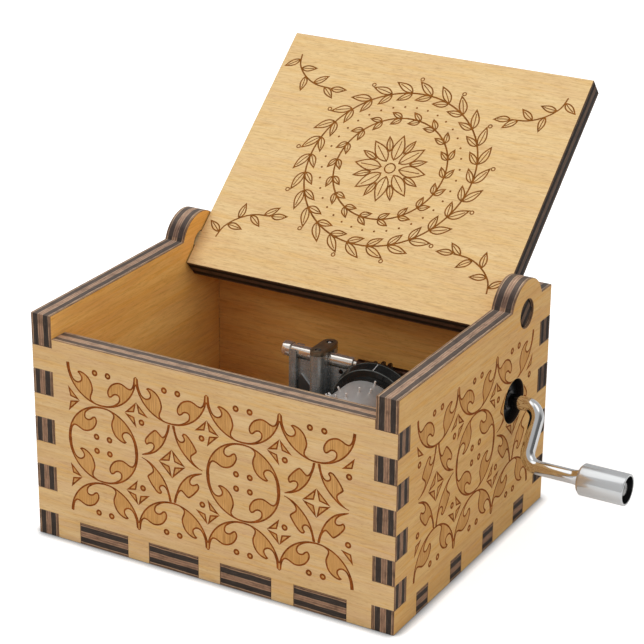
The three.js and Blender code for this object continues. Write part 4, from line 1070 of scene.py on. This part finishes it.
# small stud pressed into the casting's web, in a dark ring of painted shade
def addStud(bm):
    for radius, rise, index in ((stud["ringRadius"], stud["ringRise"], 1), (stud["radius"], stud["rise"], 2)):
        middle = Vector(stud["at"]) + sy * (stud["depth"] - rise) / 2
        made = bmesh.ops.create_cone(
            bm, cap_ends=True, segments=24, radius1=radius, radius2=radius * stud["taper"],
            depth=rise + stud["depth"], matrix=Matrix.Translation(middle) @ turnBy(math.pi / 2, "X"))["verts"]
        paint(made, index)


# painted shade round the crank's bearing, and on the rib painted shade in its hollow and a painted highlight
# on its upper slope
def paintCasting(bm):
    for face in bm.faces:
        centre, normal = face.calc_center_median(), face.normal
        # painted shade: black steel on the casting round the crank's bearing
        if centre.x > bearingShade["fromX"] and (centre - crankLine).yz.length < bearingShade["reach"]:
            face.material_index = 1
        elif rib["fromX"] < centre.x < rib["toX"] and rib["fromY"] - 0.01 < centre.y < rib["toY"]:
            # painted shade: the rib's front face in its hollow takes the dark cast steel
            if normal.y < -0.9 and centre.y < rib["fromY"] + 0.02:
                face.material_index = 3
            # painted highlight: the rib's upper slope takes the light cast steel
            elif normal.x > 0.4 and normal.z > 0.2:
                face.material_index = 4


for node, (name, body, slotName, look, ease, angle) in easedNodes.items():
    bm = copyOfNode(node, 0.3)
    if ease:
        easeEdges(bm, sharpEdges(bm, 40), ease)
    looks = [look]
    if name == "rearCasting":
        looks += ["blackSteel", "dullBrass", "castShade", "castHighlight"]
        paintCasting(bm)
        addStud(bm)
    finishPiece(bm, name, body, looks, [node], angle)


def spanOf(node):
    low, high = (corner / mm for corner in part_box(node))
    return low, high, Vector(((low.x + high.x) / 2, (low.y + high.y) / 2, 0))


# the flat and the shoulder of a screw's crown, as shares of its radius and height
crownShare = dict(flat=0.62, shoulder=0.84, drop=0.3)


# screws: a spun head and shank, with a cross or a single slot pressed into the head
def screwPiece(name, node, head, cross, downward=False):
    low, high, middle = spanOf(node)
    top, foot, way = (low.z, high.z, -1) if downward else (high.z, low.z, 1)
    seat, crown, half = top - way * head["height"], way * head["crown"], head["slot"] / 2
    radius, flat = head["radius"], head["radius"] * crownShare["flat"]
    section = [(foot, 0), (foot, head["shank"]), (seat, head["shank"]), (seat, radius), (top - crown, radius),
               (top - crown * crownShare["drop"], radius * crownShare["shoulder"]), (top, flat), (top, 0)]
    bm = spunPiece(section, sz, (0, 0, 0), 40)
    for normal in ((sx, sy) if cross else (sy,)):
        for side in (-1, 1):
            geom = bm.verts[:] + bm.edges[:] + bm.faces[:]
            bmesh.ops.bisect_plane(bm, geom=geom, plane_co=normal * half * side, plane_no=normal, dist=1e-5)
    bm.normal_update()
    pressed = []
    for face in bm.faces:
        centre = face.calc_center_median()
        across = abs(centre.y) < half or (cross and abs(centre.x) < half)
        if across and abs(centre.z - top) < 0.001 and centre.xy.length < flat:
            pressed.append(face)
    made = bmesh.ops.extrude_face_region(bm, geom=pressed)["geom"]
    bmesh.ops.translate(bm, vec=(0, 0, -way * head["deep"]), verts=onlyVerts(made))
    bmesh.ops.rotate(bm, cent=(0, 0, 0), matrix=turnBy(head["turn"], "Z", 3), verts=bm.verts)
    bmesh.ops.translate(bm, vec=middle, verts=bm.verts)
    finishPiece(bm, name, "case", ["satinSteel"], [node], 35)


# small peened screw: a flat rim, a sunk ring painted dark as painted shade, and a tip in its middle
def peenedScrew(name, node, tipLook, ringLook, head):
    low, high, middle = spanOf(node)
    top, radius, ring, tip = high.z, head["radius"], head["ringOuter"], head["tip"]
    seat, sunk, round_, below = top - head["height"], top - head["ringDeep"], head["round"], head["tipBelow"]
    section = [(low.z, 0), (low.z, head["shank"]), (seat, head["shank"]), (seat, radius),
               (top - round_, radius), (top, radius - round_), (top, ring), (sunk, ring - 0.05),
               (sunk, tip + 0.04)]
    section += domeLine(sunk, head["ringDeep"] - below, tip, range(20, 90, 14)) + [(top - below, 0)]
    bm = spunPiece(section, sz, middle, 40)
    for face in bm.faces:
        centre = face.calc_center_median()
        reach = (centre - middle).xy.length
        if centre.z > top - head["ringDeep"] * 1.2:
            face.material_index = 1 if reach > ring else 2 if reach > tip else 0
    finishPiece(bm, name, "case", [tipLook, "strapSteel", ringLook], [node], 35)


strapHead = dict(radius=0.8, height=0.3, shank=0.5, round=0.04, ringOuter=0.56, ringDeep=0.14, tip=0.3,
                 tipBelow=0.02)
combHead = dict(radius=1.6, height=1.0, crown=0.4, shank=0.8, slot=0.4, deep=0.5, turn=0.3)
frameHead = dict(radius=1.6, height=1.0, crown=0.4, shank=0.9, slot=0.4, deep=0.5, turn=0.9)
caseHead = dict(radius=2.0, height=1.2, crown=0.35, shank=1.0, slot=0.55, deep=0.7, turn=0.4)
# tip and ring looks: each ring is painted shade, and the rear screw's near-white tip is a painted highlight
strapLooks = {1: ("strapSteel", "castShade"), 2: ("pinSteel", "blackSteel")}
for i in (1, 2):
    peenedScrew(f"bridgeScrew{i}", f"strap_screw_{i}", *strapLooks[i], strapHead)
    combHead["turn"] += 1.1
    screwPiece(f"combScrew{i}", f"comb_screw_{i}", combHead, False)
    frameHead["turn"] += 0.7
    screwPiece(f"frameScrew{i}", f"frame_screw_{i}", frameHead, True)
for i in (1, 2, 3):
    caseHead["turn"] += 0.8
    screwPiece(f"caseScrew{i}", f"case_screw_{i}", caseHead, True, True)
print("movement made")

# camera at the photograph's angle
view = dict(place=(162.717, -280.025, 168.774), turn=29.432, rise=22.607, roll=0.582, lens=124.84,
            sensor=36, clipEnd=20)
turn, rise, roll = (math.radians(view[key]) for key in ("turn", "rise", "roll"))
back = Vector((math.sin(turn) * math.cos(rise), -math.cos(turn) * math.cos(rise), math.sin(rise)))
level = Vector((math.cos(turn), math.sin(turn), 0))
upright = back.cross(level)
across = level * math.cos(roll) + upright * math.sin(roll)
upward = -level * math.sin(roll) + upright * math.cos(roll)
cameraData = bpy.data.cameras.new("photoCamera")
cameraData.sensor_fit = "HORIZONTAL"
cameraData.sensor_width = view["sensor"]
cameraData.lens = view["lens"]
cameraData.clip_end = view["clipEnd"]
camera = bpy.data.objects.new("photoCamera", cameraData)
facing = Matrix((across, upward, back)).transposed().to_4x4()
camera.matrix_world = Matrix.Translation(Vector(view["place"]) * mm) @ facing
scene.collection.objects.link(camera)
scene.camera = camera

# studio: soft key from the front left, weak fill from the right, even sky
lamps = {
    "keyLamp": dict(place=(-0.62, -0.95, 1.05), size=0.9, power=10.0),
    "fillLamp": dict(place=(1.3, -0.35, 0.7), size=1.0, power=4.6),
}
aim = Vector((0, 0, 0.02))
for name, lamp in lamps.items():
    data = bpy.data.lights.new(name, "AREA")
    data.size = lamp["size"]
    data.energy = lamp["power"]
    light = bpy.data.objects.new(name, data)
    place = Vector(lamp["place"])
    facing = (aim - place).to_track_quat("-Z", "Y").to_matrix().to_4x4()
    light.matrix_world = Matrix.Translation(place) @ facing
    light.visible_glossy = False
    scene.collection.objects.link(light)


def seenDirectly(tree):
    path = addNode(tree, "ShaderNodeLightPath").outputs
    either = addMath(tree, "MAXIMUM", path["Is Camera Ray"], path["Is Glossy Ray"])
    return addMath(tree, "MAXIMUM", either, path["Is Transmission Ray"])


def towards(azimuth, height):
    a, h = math.radians(azimuth), math.radians(height)
    return math.sin(a) * math.cos(h), -math.cos(a) * math.cos(h), math.sin(h)


# metal sees the white room with two bright softboxes overhead and a dark flag on the right
sky = dict(light=0.62, seen=1.0, walls=0.5, patches=[
    dict(to=(-75, 67), edge=0.86, full=0.95, glow=1.3), dict(to=(108, 66), edge=0.93, full=0.975, glow=1.3),
    dict(to=(84, 10), edge=0.74, full=0.95, glow=0.13)])
world = bpy.data.worlds.new("studio")
world.use_nodes = True
scene.world = world
tree = world.node_tree
tree.nodes.clear()
direction = addNode(tree, "ShaderNodeTexCoord").outputs["Generated"]
room = sky["walls"]
for patch in sky["patches"]:
    near = addNode(tree, "ShaderNodeVectorMath", {0: direction, 1: towards(*patch["to"])},
                   operation="DOT_PRODUCT").outputs["Value"]
    near = addRange(tree, near, patch["edge"], patch["full"], curve="SMOOTHSTEP")
    room = addBlend(tree, near, room, patch["glow"])
glossy = addNode(tree, "ShaderNodeLightPath").outputs["Is Glossy Ray"]
shown = addBlend(tree, seenDirectly(tree), sky["light"], sky["seen"])
shell = addNode(tree, "ShaderNodeBackground", {
    "Color": (1, 1, 1, 1), "Strength": addBlend(tree, glossy, shown, room)})
addNode(tree, "ShaderNodeOutputWorld", {"Surface": shell.outputs["Background"]})


# painted contact shadow: ambient occlusion darkens the floor's colour and glow only where something stands
# close to it
def drawFloor(tree, look):
    speck = addNoise(tree, addNode(tree, "ShaderNodeTexCoord").outputs["Object"], (3, 3, 3), 2)
    openness = addNode(tree, "ShaderNodeAmbientOcclusion", {"Distance": look["contact"] * mm}, samples=16)
    openness = addMath(tree, "POWER", openness.outputs["AO"], look["contactPower"])
    glossy = addNode(tree, "ShaderNodeLightPath").outputs["Is Glossy Ray"]
    lift = addBlend(tree, glossy, addBlend(tree, seenDirectly(tree), 0, look["lift"]), look["glossLift"])
    colour = addMix(tree, speck, tone(*look["colour"]), tone(*look["speck"]))
    return {
        "Base Color": addMix(tree, openness, (0, 0, 0, 1), colour), "Roughness": 0.9,
        "Specular IOR Level": 0.1, "Emission Color": (1, 1, 1, 1),
        "Emission Strength": addMath(tree, "MULTIPLY", lift, openness)}


floorLook = dict(colour=(238, 238, 238), speck=(240, 240, 240), lift=0.6, glossLift=0.04, size=6, contact=1.8,
                 contactPower=2.0)
makeMaterial("paleFloor", drawFloor, floorLook)
bm = bmesh.new()
bmesh.ops.create_grid(bm, x_segments=1, y_segments=1, size=floorLook["size"] / 2)
mesh = bpy.data.meshes.new("paleFloor")
bm.to_mesh(mesh)
bm.free()
mesh.materials.append(materials["paleFloor"])
floor = bpy.data.objects.new("paleFloor", mesh)
scene.collection.objects.link(floor)

scene.view_settings.view_transform = "Standard"
print("studio made")
